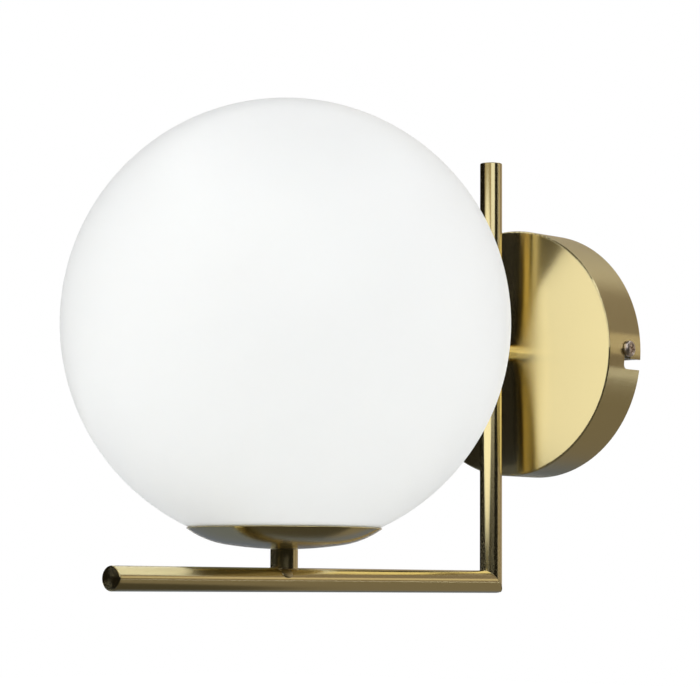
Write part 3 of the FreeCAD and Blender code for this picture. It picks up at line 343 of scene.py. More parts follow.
# ---- Geometry Nodes ----
class NodeTool:
    """A Geometry Nodes tree with named inputs, run once to give a plain mesh."""

    def __init__(self, name: str, inputs: dict[str, str]) -> None:
        """Make the empty tree.

        Args:
            name: The tree's name.
            inputs: Socket type of each named input.
        """
        self.tree = bpy.data.node_groups.new(name, "GeometryNodeTree")
        interface = self.tree.interface
        self.identifiers = {
            title: interface.new_socket(title, in_out="INPUT", socket_type=kind).identifier
            for title, kind in inputs.items()}
        interface.new_socket("Geometry", in_out="OUTPUT", socket_type="NodeSocketGeometry")
        self.given = add(self.tree, "NodeGroupInput").outputs

    def end(self, geometry: Source) -> None:
        """Shade smooth but for sharp edges, make instances real, set the material, close the tree."""
        tree = self.tree
        real = add(tree, "GeometryNodeRealizeInstances", [geometry])
        faces = add(tree, "GeometryNodeSetShadeSmooth", {0: real, "Shade Smooth": True})
        angle = add(tree, "GeometryNodeInputMeshEdgeAngle").outputs["Unsigned Angle"]
        soft = add(tree, "ShaderNodeMath", [angle, math.radians(SMOOTH_TO)], operation="LESS_THAN")
        edges = add(tree, "GeometryNodeSetShadeSmooth", {0: faces, "Shade Smooth": soft}, domain="EDGE")
        add(tree, "NodeGroupOutput", [add(tree, "GeometryNodeSetMaterial", {
            "Geometry": edges, "Material": self.given["Material"]})])

    def run(self, name: str, values: dict[str, object]) -> Piece:
        """Run the tree on an empty mesh.

        Args:
            name: Name of the piece.
            values: Value of each named input.

        Returns:
            An object at the origin with a plain mesh, its doubles merged and its faces outwards.
        """
        holder = linked(name, bpy.data.meshes.new(name))
        modifier = holder.modifiers.new(name, "NODES")
        modifier.node_group = self.tree
        for title, value in values.items():
            modifier[self.identifiers[title]] = value
        make_plain(holder, modifier)
        outwards(holder.data)
        return holder


def make_plain(piece: Piece, modifier: bpy.types.Modifier) -> None:
    """Turn what a modifier gives into the piece's own mesh, and remove the modifier."""
    bpy.context.view_layer.update()
    graph = bpy.context.evaluated_depsgraph_get()
    mesh = bpy.data.meshes.new_from_object(piece.evaluated_get(graph), depsgraph=graph)
    piece.modifiers.remove(modifier)
    piece.data = mesh
    mesh.name = piece.name


def outwards(mesh: bpy.types.Mesh) -> None:
    """Merge a closed mesh's doubles and turn its faces outwards."""
    sheet = bmesh.new()
    sheet.from_mesh(mesh)
    bmesh.ops.remove_doubles(sheet, verts=sheet.verts, dist=metres(DOUBLES_GAP))
    bmesh.ops.recalc_face_normals(sheet, faces=sheet.faces)
    sheet.to_mesh(mesh)
    sheet.free()


def points_object(name: str, points: list[Point], facing: list[Point] = ()) -> Piece:
    """Loose points that a Geometry Nodes tree reads.

    Args:
        name: Name of the object.
        points: The points, in millimetres.
        facing: Direction of each point, kept as the attribute "facing".

    Returns:
        The object, to be removed after use.
    """
    mesh = bpy.data.meshes.new(name)
    mesh.from_pydata([in_metres(point) for point in points], [], [])
    if facing:
        kept = mesh.attributes.new("facing", "FLOAT_VECTOR", "POINT")
        kept.data.foreach_set("vector", [value for direction in facing for value in direction])
    return linked(name, mesh)


class Turning(NodeTool):
    """Turns an outline of (radius, height) points about an axis, as a lathe or a glass blower does."""

    def __init__(self) -> None:
        """Build the tree: a sheet of points, each placed by its row of the outline and its angle."""
        super().__init__("turning", {
            "Outline": "NodeSocketObject", "Rows": "NodeSocketInt", "Segments": "NodeSocketInt",
            "Waviness": "NodeSocketFloat", "Wave Size": "NodeSocketFloat", "Turn": "NodeSocketVector",
            "Place": "NodeSocketVector", "Material": "NodeSocketMaterial"})
        tree, given = self.tree, self.given
        columns = add(tree, "ShaderNodeMath", [given["Segments"], 1.0], operation="ADD")
        sheet = add(tree, "GeometryNodeMeshGrid", {
            "Size X": 1.0, "Size Y": 1.0, "Vertices X": columns, "Vertices Y": given["Rows"]})
        spot = add(tree, "GeometryNodeInputPosition")
        here = add(tree, "ShaderNodeSeparateXYZ", [spot]).outputs
        across, along = (add(tree, "ShaderNodeMath", [here[letter], 0.5], operation="ADD") for letter in "XY")
        angle = add(tree, "ShaderNodeMath", [across, 2 * math.pi], operation="MULTIPLY")
        last = add(tree, "ShaderNodeMath", [given["Rows"], 1.0], operation="SUBTRACT")
        level = add(tree, "ShaderNodeMath", [along, last], operation="MULTIPLY")
        row = add(tree, "ShaderNodeMath", [level], operation="ROUND")
        outline = add(tree, "GeometryNodeObjectInfo", {"Object": given["Outline"]}).outputs["Geometry"]
        found = add(tree, "GeometryNodeSampleIndex", {"Geometry": outline, "Value": spot, "Index": row},
                    data_type="FLOAT_VECTOR", domain="POINT")
        parts = add(tree, "ShaderNodeSeparateXYZ", [found]).outputs
        shares = [add(tree, "ShaderNodeMath", [angle], operation=operation)
                  for operation in ("COSINE", "SINE")]
        x, y = (add(tree, "ShaderNodeMath", [parts["X"], share], operation="MULTIPLY")
                for share in shares)
        place = add(tree, "ShaderNodeCombineXYZ", [x, y, parts["Z"]])
        placed = add(tree, "GeometryNodeSetPosition",
                     {"Geometry": sheet.outputs["Mesh"], "Position": place})
        closed = add(tree, "GeometryNodeMergeByDistance",
                     {"Geometry": placed, "Distance": metres(DOUBLES_GAP / 2)})
        per_wave = add(tree, "ShaderNodeMath", [1.0, given["Wave Size"]], operation="DIVIDE")
        wave = add(tree, "ShaderNodeTexNoise", {"Vector": spot, "Scale": per_wave, "Detail": 1.0})
        even = add(tree, "ShaderNodeMath", [wave, 0.5], operation="SUBTRACT")
        height = add(tree, "ShaderNodeMath", [even, given["Waviness"]], operation="MULTIPLY")
        normal = add(tree, "GeometryNodeInputNormal")
        offset = add(tree, "ShaderNodeVectorMath", {0: normal, "Scale": height}, operation="SCALE")
        waved = add(tree, "GeometryNodeSetPosition", {"Geometry": closed, "Offset": offset})
        rotation = add(tree, "FunctionNodeEulerToRotation", [given["Turn"]])
        self.end(add(tree, "GeometryNodeTransform", {
            "Geometry": waved, "Translation": given["Place"], "Rotation": rotation}))

    def make(self, name: str, outline: Profile, finish: Finish, place: Point = (0.0, 0.0, 0.0),
             axis: Axis = Axis.Z, segments: int = 96, waviness: float = 0.0,
             wave_size: float = 50.0) -> Piece:
        """Turn one piece.

        Args:
            name: Name of the piece.
            outline: Its (radius, height) points, from pole to pole or round a closed loop.
            finish: Its finish.
            place: Where height 0 on the axis lies.
            axis: Axis.Z for a height that runs up, Axis.Y for one that runs out from the wall.
            segments: How many sides the piece has all round.
            waviness: Depth of its slow waves.
            wave_size: Length of those waves.

        Returns:
            The piece as a plain mesh.
        """
        rows = points_object(f"{name}.outline", [(radius, 0.0, height) for radius, height in outline])
        turn = (math.pi / 2, 0.0, 0.0) if axis is Axis.Y else (0.0, 0.0, 0.0)
        piece = self.run(name, {
            "Outline": rows, "Rows": len(outline), "Segments": segments,
            "Waviness": metres(waviness), "Wave Size": metres(wave_size), "Turn": turn,
            "Place": in_metres(place), "Material": finish.material()})
        bpy.data.objects.remove(rows)
        return piece


class Fastening(NodeTool):
    """Sets one screw at each of a list of places, facing the way that each place says."""

    def __init__(self) -> None:
        """Build the tree: the screw is put on each point, turned towards the point's own direction."""
        super().__init__("fastening", {"Places": "NodeSocketObject", "Screw": "NodeSocketObject",
                                       "Spin Seed": "NodeSocketInt", "Material": "NodeSocketMaterial"})
        tree, given = self.tree, self.given
        places, screw = (add(tree, "GeometryNodeObjectInfo", {"Object": given[title]}).outputs["Geometry"]
                         for title in ("Places", "Screw"))
        facing = add(tree, "GeometryNodeInputNamedAttribute", {"Name": "facing"},
                     data_type="FLOAT_VECTOR")
        turned = add(tree, "FunctionNodeAlignRotationToVector", {"Vector": facing}, axis="Z")
        spin = add(tree, "FunctionNodeRandomValue", {"Seed": given["Spin Seed"]}, data_type="FLOAT")
        number = next(socket for socket in spin.outputs if socket.type == "VALUE" and socket.enabled)
        angle = add(tree, "ShaderNodeMath", [number, math.pi], operation="MULTIPLY")
        about = add(tree, "ShaderNodeCombineXYZ", {"Z": angle})
        local = add(tree, "FunctionNodeEulerToRotation", [about])
        both = add(tree, "FunctionNodeRotateRotation", [turned, local], rotation_space="LOCAL")
        self.end(add(tree, "GeometryNodeInstanceOnPoints", {
            "Points": places, "Instance": screw, "Rotation": both}))

    def make(self, name: str, screw: Piece, places: list[Point], facing: list[Point],
             finish: Finish, seed: int = 3) -> Piece:
        """Set the screws of one body.

        Args:
            name: Name of the piece.
            screw: One screw with its head up and its seat at the origin, which is removed afterwards.
            places: Where each screw's seat lies.
            facing: Which way each head faces.
            finish: The screws' finish.
            seed: Fixes how far each screw happens to be turned.

        Returns:
            All screws as one plain mesh.
        """
        points = points_object(f"{name}.places", places, facing)
        made = self.run(name, {"Places": points, "Screw": screw, "Spin Seed": seed,
                               "Material": finish.material()})
        for spent in (points, screw):
            bpy.data.objects.remove(spent)
        return made


# ---- Shapes in mesh code ----
def arc(centre: tuple[float, float], radius: float, start: float, end: float, steps: int) -> Profile:
    """Points of an arc in an outline.

    Args:
        centre: The arc's centre as (radius, height).
        radius: The arc's own radius.
        start: Angle of the first point in degrees, from the outward direction towards up.
        end: Angle of the last point.
        steps: How many pieces the arc has.

    Returns:
        The points, both ends included.
    """
    angles = [math.radians(start + (end - start) * step / steps) for step in range(steps + 1)]
    return [(centre[0] + radius * math.cos(angle), centre[1] + radius * math.sin(angle))
            for angle in angles]


def carve(piece: Piece, cutter: Piece) -> None:
    """Cut one closed mesh out of another for good, and remove the cutter."""
    cut = piece.modifiers.new("cut", "BOOLEAN")
    cut.object, cut.operation, cut.solver = cutter, "DIFFERENCE", "EXACT"
    make_plain(piece, cut)
    bpy.data.objects.remove(cutter)


def block(name: str, low: Point, high: Point) -> Piece:
    """Closed box between two corners, which a cut is made with."""
    sheet = bmesh.new()
    bmesh.ops.create_cube(sheet, size=1.0)
    middle = [(a + b) / 2 for a, b in zip(low, high)]
    for vert in sheet.verts:
        vert.co = in_metres([middle[i] + vert.co[i] * (high[i] - low[i]) for i in range(3)])
    return closed_object(name, sheet)


def sheet_object(name: str, sheet: Sheet) -> Piece:
    """Object of a bmesh, which is used up."""
    mesh = bpy.data.meshes.new(name)
    sheet.to_mesh(mesh)
    sheet.free()
    return linked(name, mesh)


def closed_object(name: str, sheet: Sheet) -> Piece:
    """Object of a closed bmesh, with its doubles merged and its faces outwards."""
    made = sheet_object(name, sheet)
    outwards(made.data)
    return made


def smooth_piece(name: str, sheet: Sheet, finish: Finish) -> Piece:
    """Smooth closed piece of a bmesh, in its finish."""
    for face in sheet.faces:
        face.smooth = True
    made = closed_object(name, sheet)
    made.data.materials.append(finish.material())
    return made


def swept(name: str, rings: list[list[Point]], finish: Finish) -> Piece:
    """Skin over a row of closed rings of points, the last ring joined to the first.

    Args:
        name: Name of the piece.
        rings: The rings, each with as many points, in millimetres.
        finish: The piece's finish.

    Returns:
        The piece as a smooth plain mesh.
    """
    sheet = bmesh.new()
    rows = [[sheet.verts.new(in_metres(point)) for point in points] for points in rings]
    count = len(rows[0])
    for first, second in zip(rows, rows[1:] + rows[:1]):
        for k in range(count):
            after = (k + 1) % count
            sheet.faces.new((first[k], first[after], second[after], second[k]))
    return smooth_piece(name, sheet, finish)


def install(piece: Piece, body: str, slot: str, *nodes: str) -> None:
    """Hand a finished piece to the frame and report it.

    Args:
        piece: The piece, at the origin.
        body: The CAD body that it rides on.
        slot: Not used.
        *nodes: The CAD nodes that it stands for.
    """
    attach(piece, body)
    if nodes:
        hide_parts(*nodes)
    triangles = sum(len(polygon.vertices) - 2 for polygon in piece.data.polygons)
    LOG.info("%s on %s, %d triangles, for %s", piece.name, body, triangles,
             ", ".join(nodes) or "nothing")


# ---- Sub-assemblies ----
@dataclass
class GlobeShade:
    """The blown globe with the ground flat round its hole."""

    turning: Turning
    standoff: float = GLOBE_STANDOFF
    radius: float = 100.0
    wall: float = 2.5
    centre: float = GLOBE_CENTRE
    foot: float = -91.214
    hole: float = 33.5
    edge: float = 0.3
    segments: int = 192
    waviness: float = 0.12

    def outline(self) -> Profile:
        """Half section of the glass, from its inner pole down to the hole and up to its outer pole."""
        inner = self.radius - self.wall
        middle = (0.0, self.centre)
        inner_end = -math.degrees(math.acos(self.hole / inner))
        outer_start = -math.degrees(math.asin((self.centre - self.foot) / self.radius))
        flat_end = arc(middle, self.radius, outer_start, outer_start, 1)[0]
        points = arc(middle, inner, 90.0, inner_end, 84)
        points += [(self.hole, self.foot + self.edge),
                   (self.hole + self.edge / 3, self.foot + self.edge / 3),
                   (self.hole + self.edge, self.foot), (flat_end[0] - self.edge, self.foot)]
        points += arc(middle, self.radius, outer_start + 0.1, 90.0, 112)
        return [(max(radius, 0.0), height) for radius, height in points]

    def build(self) -> None:
        """Blow the globe and set it on its body."""
        shade = self.turning.make("globe_shade", self.outline(), OPAL_GLASS, (0.0, -self.standoff, 0.0),
                                  segments=self.segments, waviness=self.waviness)
        install(shade, "globe", "opal_glass", "glass_globe", "glass_crown", "glass_foot")


@dataclass
class Dish:
    """The spun dish under the globe, with its cut rim rounded over."""

    turning: Turning
    standoff: float = GLOBE_STANDOFF
    underside: float = -97.85
    radius: float = 43.8
    depth: float = 9.4
    wall: float = 0.6
    floor_radius: float = 170.0
    turn: float = 26.0
    hole: float = 5.2

    def outline(self) -> Profile:
        """Closed half section: along the underside, round the rim and back along the inside."""
        rim = self.underside + self.depth
        floor_angle = math.asin(self.turn / self.floor_radius)
        floor_centre = self.underside + self.floor_radius
        turn_level = floor_centre - self.floor_radius * math.cos(floor_angle)
        rise, reach = rim - turn_level, self.radius - self.turn
        chord = math.atan2(rise, reach)
        side_radius = math.hypot(rise, reach) / (2 * math.sin(chord - floor_angle))
        side_centre = (self.turn - side_radius * math.sin(floor_angle),
                       turn_level + side_radius * math.cos(floor_angle))
        bead = self.wall / 2
        end = math.acos((side_centre[1] - rim + bead) / (side_radius - bead))
        under: Profile = []
        inside: Profile = []
        for inset, points in ((0.0, under), (self.wall, inside)):
            start = math.asin(self.hole / (self.floor_radius - inset))
            floor = arc((0.0, floor_centre), self.floor_radius - inset, math.degrees(start) - 90,
                        math.degrees(floor_angle) - 90, 16)
            side = arc(side_centre, side_radius - inset, math.degrees(floor_angle) - 90,
                       math.degrees(end) - 90, 20)
            points += floor + side[1:]
        middle = [(a + b) / 2 for a, b in zip(under[-1], inside[-1])]
        outward = math.degrees(end) - 90
        bead_arc = arc((middle[0], middle[1]), bead, outward, outward + 180, 8)
        return under + bead_arc[1:-1] + inside[::-1] + under[:1]

    def build(self) -> None:
        """Spin the dish and set it on the frame."""
        axis = (0.0, -self.standoff, 0.0)
        bowl = self.turning.make("dish_bowl", self.outline(), SATIN_BRASS.around("dish", Axis.Z, axis),
                                 axis, segments=160)
        install(bowl, "lamp_frame", "satin_brass", "dish")


@dataclass
class TubeFrame:
    """Upright and arm, closed at their free ends and joined by a mitre, with the joints' solder."""

    turning: Turning
    radius: float = 5.35
    bore: float = 4.35
    standoff: float = 40.0
    top: float = 91.8
    reach: float = 293.3
    level: float = -111.4
    plug_head: float = 1.2
    plug_depth: float = 6.0
    plug_edge: float = 0.5
    rounding: float = 1.8
    seam: float = 0.16
    seam_flatness: float = 0.45
    stem_radius: float = 4.5
    stem_solder: float = 0.4125
    solder_hollow: float = 0.38
    neck_standoff: float = GLOBE_STANDOFF
    neck_radius: float = 6.1
    neck_seat: float = 0.5
    neck_solder_reach: float = 0.9
    neck_solder_rise: float = 0.5
    neck_solder_drop: float = 0.5
    neck_solder_bulge: float = 0.25
    solder_root: float = 0.5
    drop_forward: float = 2.8
    drop_angle: float = 36.0
    drop_sunk: float = 0.3
    drop_half: Point = (3.6, 2.5, 1.1)

    def plug_outline(self) -> Profile:
        """Half section of an end plug, its outer face at height 0."""
        spigot = self.bore - 0.05
        bottom = -self.plug_head - self.plug_depth
        edge = self.plug_edge
        rounded = arc((self.radius - edge, -edge), edge, 0.0, 90.0, 6)
        return ([(0.0, bottom), (spigot - edge, bottom), (spigot, bottom + edge), (spigot, -self.plug_head),
                 (self.radius, -self.plug_head), (self.radius, -self.plug_head + 0.1)]
                + rounded + [(self.radius - edge - 0.2, 0.0), (self.radius / 2, 0.0), (0.0, 0.0)])

    def build_plugs(self) -> None:
        """Close the tube's two free ends."""
        for name, node, axis, centre, place in (
                ("upright_plug", "upright_cap", Axis.Z, (0.0, -self.standoff, 0.0),
                 (0.0, -self.standoff, self.top)),
                ("arm_plug", "arm_cap", Axis.Y, (0.0, 0.0, self.level),
                 (0.0, -self.reach, self.level))):
            finish = SATIN_BRASS.around(node.split("_")[0], axis, centre)
            plug = self.turning.make(name, self.plug_outline(), finish, place, axis, 72)
            install(plug, "lamp_frame", "satin_brass", node)

    def build_seam(self) -> None:
        """Run the fine line of solder that shows where the two mitred tubes meet."""
        half = math.sqrt(0.5)
        cut_at = self.radius - self.rounding * (1 - half)
        across = Vector((0.0, half, half))
        rings = []
        for angle in turns(96):
            out = Vector((math.cos(angle), math.sin(angle) * half, -math.sin(angle) * half))
            out.normalize()
            side = min(self.radius * math.sin(angle), cut_at)
            middle = Vector((self.radius * math.cos(angle), -self.standoff + side, self.level - side))
            rings.append([tuple(middle + self.seam * (math.cos(turn) * across
                                                      + self.seam_flatness * math.sin(turn) * out))
                          for turn in turns(8)])
        install(swept("mitre_seam", rings, JOINT_SOLDER), "lamp_frame", "satin_brass")

    def saddle(self, radius: float, angle: float) -> float:
        """Height of the tube's surface above its axis, under a round piece that stands on it."""
        across = radius * math.cos(angle)
        return math.sqrt(max(self.radius ** 2 - across ** 2, 0.0))

    def stem_bead(self, angle: float) -> list[Point]:
        """Section of the hollow bead of solder round the stem's root.

        Args:
            angle: Direction round the stem, from +X.

        Returns:
            The section's points, from inside the stem's wall over the bead to the upright.
        """
        wall, size = self.stem_radius, self.stem_solder
        foot, far = self.saddle(wall, angle), self.saddle(wall + size, angle)
        hollow = self.solder_hollow * size
        section = [(wall - 0.3, foot - 0.3), (wall - 0.1, foot + size), (wall + 0.06, foot + size),
                   (wall + hollow, foot + hollow), (wall + size, far + 0.05),
                   (wall + size, far - 0.15)]
        return [(out * math.cos(angle), -self.standoff + up, out * math.sin(angle))
                for out, up in section]

    def neck_bead(self, angle: float, steps: int = 8) -> list[Point]:
        """Section of the thin ring of solder under the neck's foot.

        Args:
            angle: Direction round the neck, from +X.
            steps: How many pieces the ring's round front has.

        Returns:
            The section's points, from inside the neck's wall over its foot and down to the arm.
        """
        wall, reach = self.neck_radius, self.neck_radius + self.neck_solder_reach
        foot = self.radius - self.neck_seat
        low = max(self.saddle(reach, angle), foot - self.neck_solder_drop)
        out = min(reach, math.sqrt(self.radius ** 2 - low ** 2) / max(abs(math.cos(angle)), 0.01))
        top = max(foot, self.saddle(wall, angle)) + self.neck_solder_rise
        fall = Vector((out - wall, low - top))
        outward = Vector((-fall.y, fall.x)).normalized()
        section = [(wall - self.solder_root, top - self.solder_root)]
        for step in range(steps + 1):
            share = step / steps
            bulge = 4 * share * (1 - share) * self.neck_solder_bulge
            section.append(tuple(Vector((wall, top)) + share * fall + bulge * outward))
        section.append((out - self.solder_root, low - 0.1))
        return [(r * math.cos(angle), -self.neck_standoff + r * math.sin(angle), self.level + up)
                for r, up in section]

    def build_beads(self) -> None:
        """Run the solder where the stem meets the upright and where the neck stands on the arm."""
        for name, bead, count in (("stem_solder", self.stem_bead, 64),
                                  ("neck_solder", self.neck_bead, 144)):
            rings = [bead(angle) for angle in turns(count)]
            install(swept(name, rings, JOINT_SOLDER), "lamp_frame", "satin_brass")

    def build_drop(self) -> None:
        """Leave the drop of solder that has run down the arm's side under the neck."""
        turn = math.radians(self.drop_angle)
        outward = Vector((math.cos(turn), 0.0, math.sin(turn)))
        round_arm = Vector((-math.sin(turn), 0.0, math.cos(turn)))
        centre = (Vector((0.0, -self.neck_standoff - self.drop_forward, self.level))
                  + (self.radius - self.drop_sunk) * outward)
        long, tall, thick = self.drop_half
        sheet = bmesh.new()
        bmesh.ops.create_uvsphere(sheet, u_segments=48, v_segments=24, radius=1.0)
        for vert in sheet.verts:
            x, y, z = vert.co
            vert.co = in_metres(centre + Vector((0.0, long * x, 0.0)) + tall * y * round_arm
                                + thick * z * outward)
        install(smooth_piece("neck_drop", sheet, JOINT_SOLDER), "lamp_frame", "satin_brass")

    def dress(self) -> None:
        """Give the tubes, the neck, the stem and the cup the brass whose marks run round their own axes."""
        upright = (0.0, -self.standoff, 0.0)
        arm = (0.0, 0.0, self.level)
        neck = (0.0, -self.neck_standoff, 0.0)
        for node, brass, axis, centre in (
                ("upright_tube", TUBE_BRASS, Axis.Z, upright), ("arm_tube", TUBE_BRASS, Axis.Y, arm),
                ("neck", TUBE_BRASS, Axis.Z, neck), ("stem", TUBE_BRASS, Axis.Y, (0.0, 0.0, 0.0)),
                ("wall_cup", BRUSHED_BRASS, Axis.Y, (0.0, 0.0, 0.0))):
            dress_node(node, brass.around(node, axis, centre))

    def build(self) -> None:
        """Make the frame's pieces and dress its CAD nodes."""
        self.dress()
        self.build_plugs()
        self.build_seam()
        self.build_beads()
        self.build_drop()


@dataclass
class Screws:
    """Screws whose heads show, made with a crisp cross recess or slot and set in place."""

    turning: Turning
    fastening: Fastening
    cup_radius: float = 60.0
    gap: float = 0.3
    height: float = 10.5
    shank: float = 2.0
    grip: float = 7.0
    head: float = 3.9
    rise: float = 2.4
    recess_reach: float = 2.26
    recess_width: float = 1.0
    recess_depth: float = 1.4
    thread_pitch: float = 0.7
    thread_depth: float = 0.25

    def outline(self) -> Profile:
        """Half section of a pan-head screw, its seat at height 0, with rolled thread on its shank."""
        points: Profile = [(0.0, -self.grip), (self.shank - 0.5, -self.grip), (self.shank, -self.grip + 0.5)]
        turns = int((self.grip - 1.2) / self.thread_pitch)
        for turn in range(turns):
            level = -self.grip + 0.6 + turn * self.thread_pitch
            points += [(self.shank, level), (self.shank, level + 0.15 * self.thread_pitch),
                       (self.shank - self.thread_depth, level + 0.5 * self.thread_pitch)]
        edge = 0.3 * self.rise
        points += [(self.shank, -0.4), (self.shank, 0.0), (self.head - 0.15, 0.0), (self.head, 0.12)]
        for step in range(1, 13):
            share = math.radians(90 * step / 12)
            points.append((self.head * math.cos(share) ** 0.62, edge + (self.rise - edge) * math.sin(share)))
        points[-1] = (0.0, self.rise)
        return points

    def cross_screw(self) -> Piece:
        """One screw, head up, with its cross recess cut."""
        screw = self.turning.make("cross_screw", self.outline(), SCREW_NICKEL, segments=48)
        half, reach = self.recess_width / 2, self.recess_reach
        low, high = self.rise - self.recess_depth, 2 * self.rise
        carve(screw, block("cross_bar", (-reach, -half, low), (reach, half, high)))
        carve(screw, block("cross_bar", (-half, -reach, low), (half, reach, high)))
        return screw

    def build(self) -> None:
        """Set the two side screws in the bracket's ears."""
        place = self.cup_radius + self.gap
        screws = self.fastening.make("side_screw_pair", self.cross_screw(),
                                     [(place, -self.height, 0.0), (-place, -self.height, 0.0)],
                                     [(1.0, 0.0, 0.0), (-1.0, 0.0, 0.0)], SCREW_NICKEL)
        install(screws, "bracket", "brass_screws", "side_screws")


@dataclass
class TerminalScrews:
    """The six slotted clamping screws of the terminal block in the cup."""

    turning: Turning
    fastening: Fastening
    pitch: float = 8.5
    bottom: float = 18.0
    block_height: float = 17.0
    share: float = 0.25
    pole_depth: float = 13.0
    radius: float = 1.2
    length: float = 4.45
    start: float = 1.07
    slot_width: float = 0.5
    slot_depth: float = 0.8

    def screw(self) -> Piece:
        """One headless screw with a bevelled top and a driver's slot, its point at the origin."""
        edge = 0.2
        outline = [(0.0, 0.0), (self.radius - edge, 0.0), (self.radius, edge),
                   (self.radius, self.length - edge), (self.radius - edge, self.length),
                   (0.0, self.length)]
        made = self.turning.make("clamp_screw", outline, PLAIN_BRASS, segments=32)
        half, wide = self.slot_width / 2, 2 * self.radius
        carve(made, block("driver_slot", (-wide, -half, self.length - self.slot_depth),
                          (wide, half, 2 * self.length)))
        return made

    def build(self) -> None:
        """Set the screws, two in each pole."""
        levels = [self.bottom + self.block_height * share for share in (self.share, 1 - self.share)]
        places = [(side * self.pitch, self.start - self.pole_depth, level) for side in (-1, 0, 1)
                  for level in levels]
        screws = self.fastening.make("clamp_screw_set", self.screw(), places,
                                     [(0.0, 1.0, 0.0)] * len(places), PLAIN_BRASS, seed=7)
        install(screws, "lamp_frame", "plain_brass", "clamp_screws")


def dress_node(name: str, finish: Finish) -> None:
    """Give a CAD node its finish, on its object's material slots."""
    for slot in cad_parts[name].material_slots:
        slot.material = finish.material()
    LOG.info("%s dressed in %s", name, finish.name)


def dress_all() -> None:
    """Give every CAD node the finish of its material slot in the record."""
    for name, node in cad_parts.items():
        slots = [slot.material.name.split(".")[0] for slot in node.material_slots if slot.material]
        dress_node(name, SLOT_FINISHES[slots[0]])


# ---- Studio ----
def direction(azimuth: float, elevation: float) -> Vector:
    """Way from the object to a place, by its angles in degrees from -Y and from level."""
    turn, rise = math.radians(azimuth), math.radians(elevation)
    return Vector((math.sin(turn) * math.cos(rise), -math.cos(turn) * math.cos(rise), math.sin(rise)))


def flat_sheet(corners: list[Point]) -> Sheet:
    """Flat face between corners in millimetres."""
    sheet = bmesh.new()
    sheet.faces.new([sheet.verts.new(in_metres(corner)) for corner in corners])
    return sheet


def seen_rays(tree: Tree) -> Source:
    """1 for a ray that comes from the camera, off gloss or through glass, and 0 for the rest."""
    path = add(tree, "ShaderNodeLightPath").outputs
    seen = path["Is Camera Ray"]
    for title in ("Is Glossy Ray", "Is Transmission Ray"):
        seen = add(tree, "ShaderNodeMath", [seen, path[title]], operation="MAXIMUM")
    return seen


def glossy_only(name: str, sheet: Sheet, shade: str, strength: float = 1.0,
                fade: tuple[float, float] | None = None) -> None:
    """Studio object of a plain shade that only glossy rays meet.

    Args:
        name: Its name.
        sheet: Its mesh, which is used up.
        shade: The colour that it shows.
        strength: How bright it is.
        fade: Where along Y it starts to show and where it shows fully, if it fades out.
    """
    made = sheet_object(name, sheet)
    paint = bpy.data.materials.new(name)
    tree = empty_tree(paint)
    surface = add(tree, "ShaderNodeEmission", {"Color": linear(shade), "Strength": strength})
    if fade:
        place = add(tree, "ShaderNodeTexCoord").outputs["Object"]
        along = add(tree, "ShaderNodeSeparateXYZ", [place]).outputs["Y"]
        share = add(tree, "ShaderNodeMapRange",
                    {"Value": along, "From Min": metres(fade[0]), "From Max": metres(fade[1])},
                    interpolation_type="SMOOTHSTEP")
        clear = add(tree, "ShaderNodeBsdfTransparent")
        surface = add(tree, "ShaderNodeMixShader", [share, clear, surface])
    add(tree, "ShaderNodeOutputMaterial", [surface])
    made.data.materials.append(paint)
    made.visible_camera = made.visible_diffuse = made.visible_transmission = False
    made.visible_shadow = made.visible_volume_scatter = False


@dataclass(frozen=True)
class Card:
    """A tall curved card round the object that only shows in the brass, as a studio's flags do."""

    name: str
    start: float
    end: float
    low: float
    high: float
    shade: str
    distance: float = 2500.0
    steps: int = 24

    def build(self) -> None:
        """Set up the card."""
        sheet = bmesh.new()
        rows = []
        for step in range(self.steps + 1):
            turn = math.radians(self.start + (self.end - self.start) * step / self.steps)
            x, y = self.distance * math.sin(turn), -self.distance * math.cos(turn)
            rows.append([sheet.verts.new(in_metres((x, y, level))) for level in (self.low, self.high)])
        for first, second in zip(rows, rows[1:]):
            sheet.faces.new((first[0], second[0], second[1], first[1]))
        glossy_only(self.name, sheet, self.shade)


@dataclass(frozen=True)
class Lamp:
    """A soft square lamp that faces the object and doesn't show in it."""

    name: str
    azimuth: float
    elevation: float
    size: float
    watts: float
    distance: float = 2200.0
    aim: Point = (0.0, -150.0, 0.0)

    def build(self) -> None:
        """Hang the lamp."""
        data = bpy.data.lights.new(self.name, "AREA")
        data.size, data.energy = metres(self.size), self.watts
        made = linked(self.name, data)
        place = direction(self.azimuth, self.elevation)
        made.location = Vector(in_metres(self.aim)) + metres(self.distance) * place
        made.rotation_euler = place.to_track_quat("Z", "Y").to_euler()
        made.visible_glossy = False


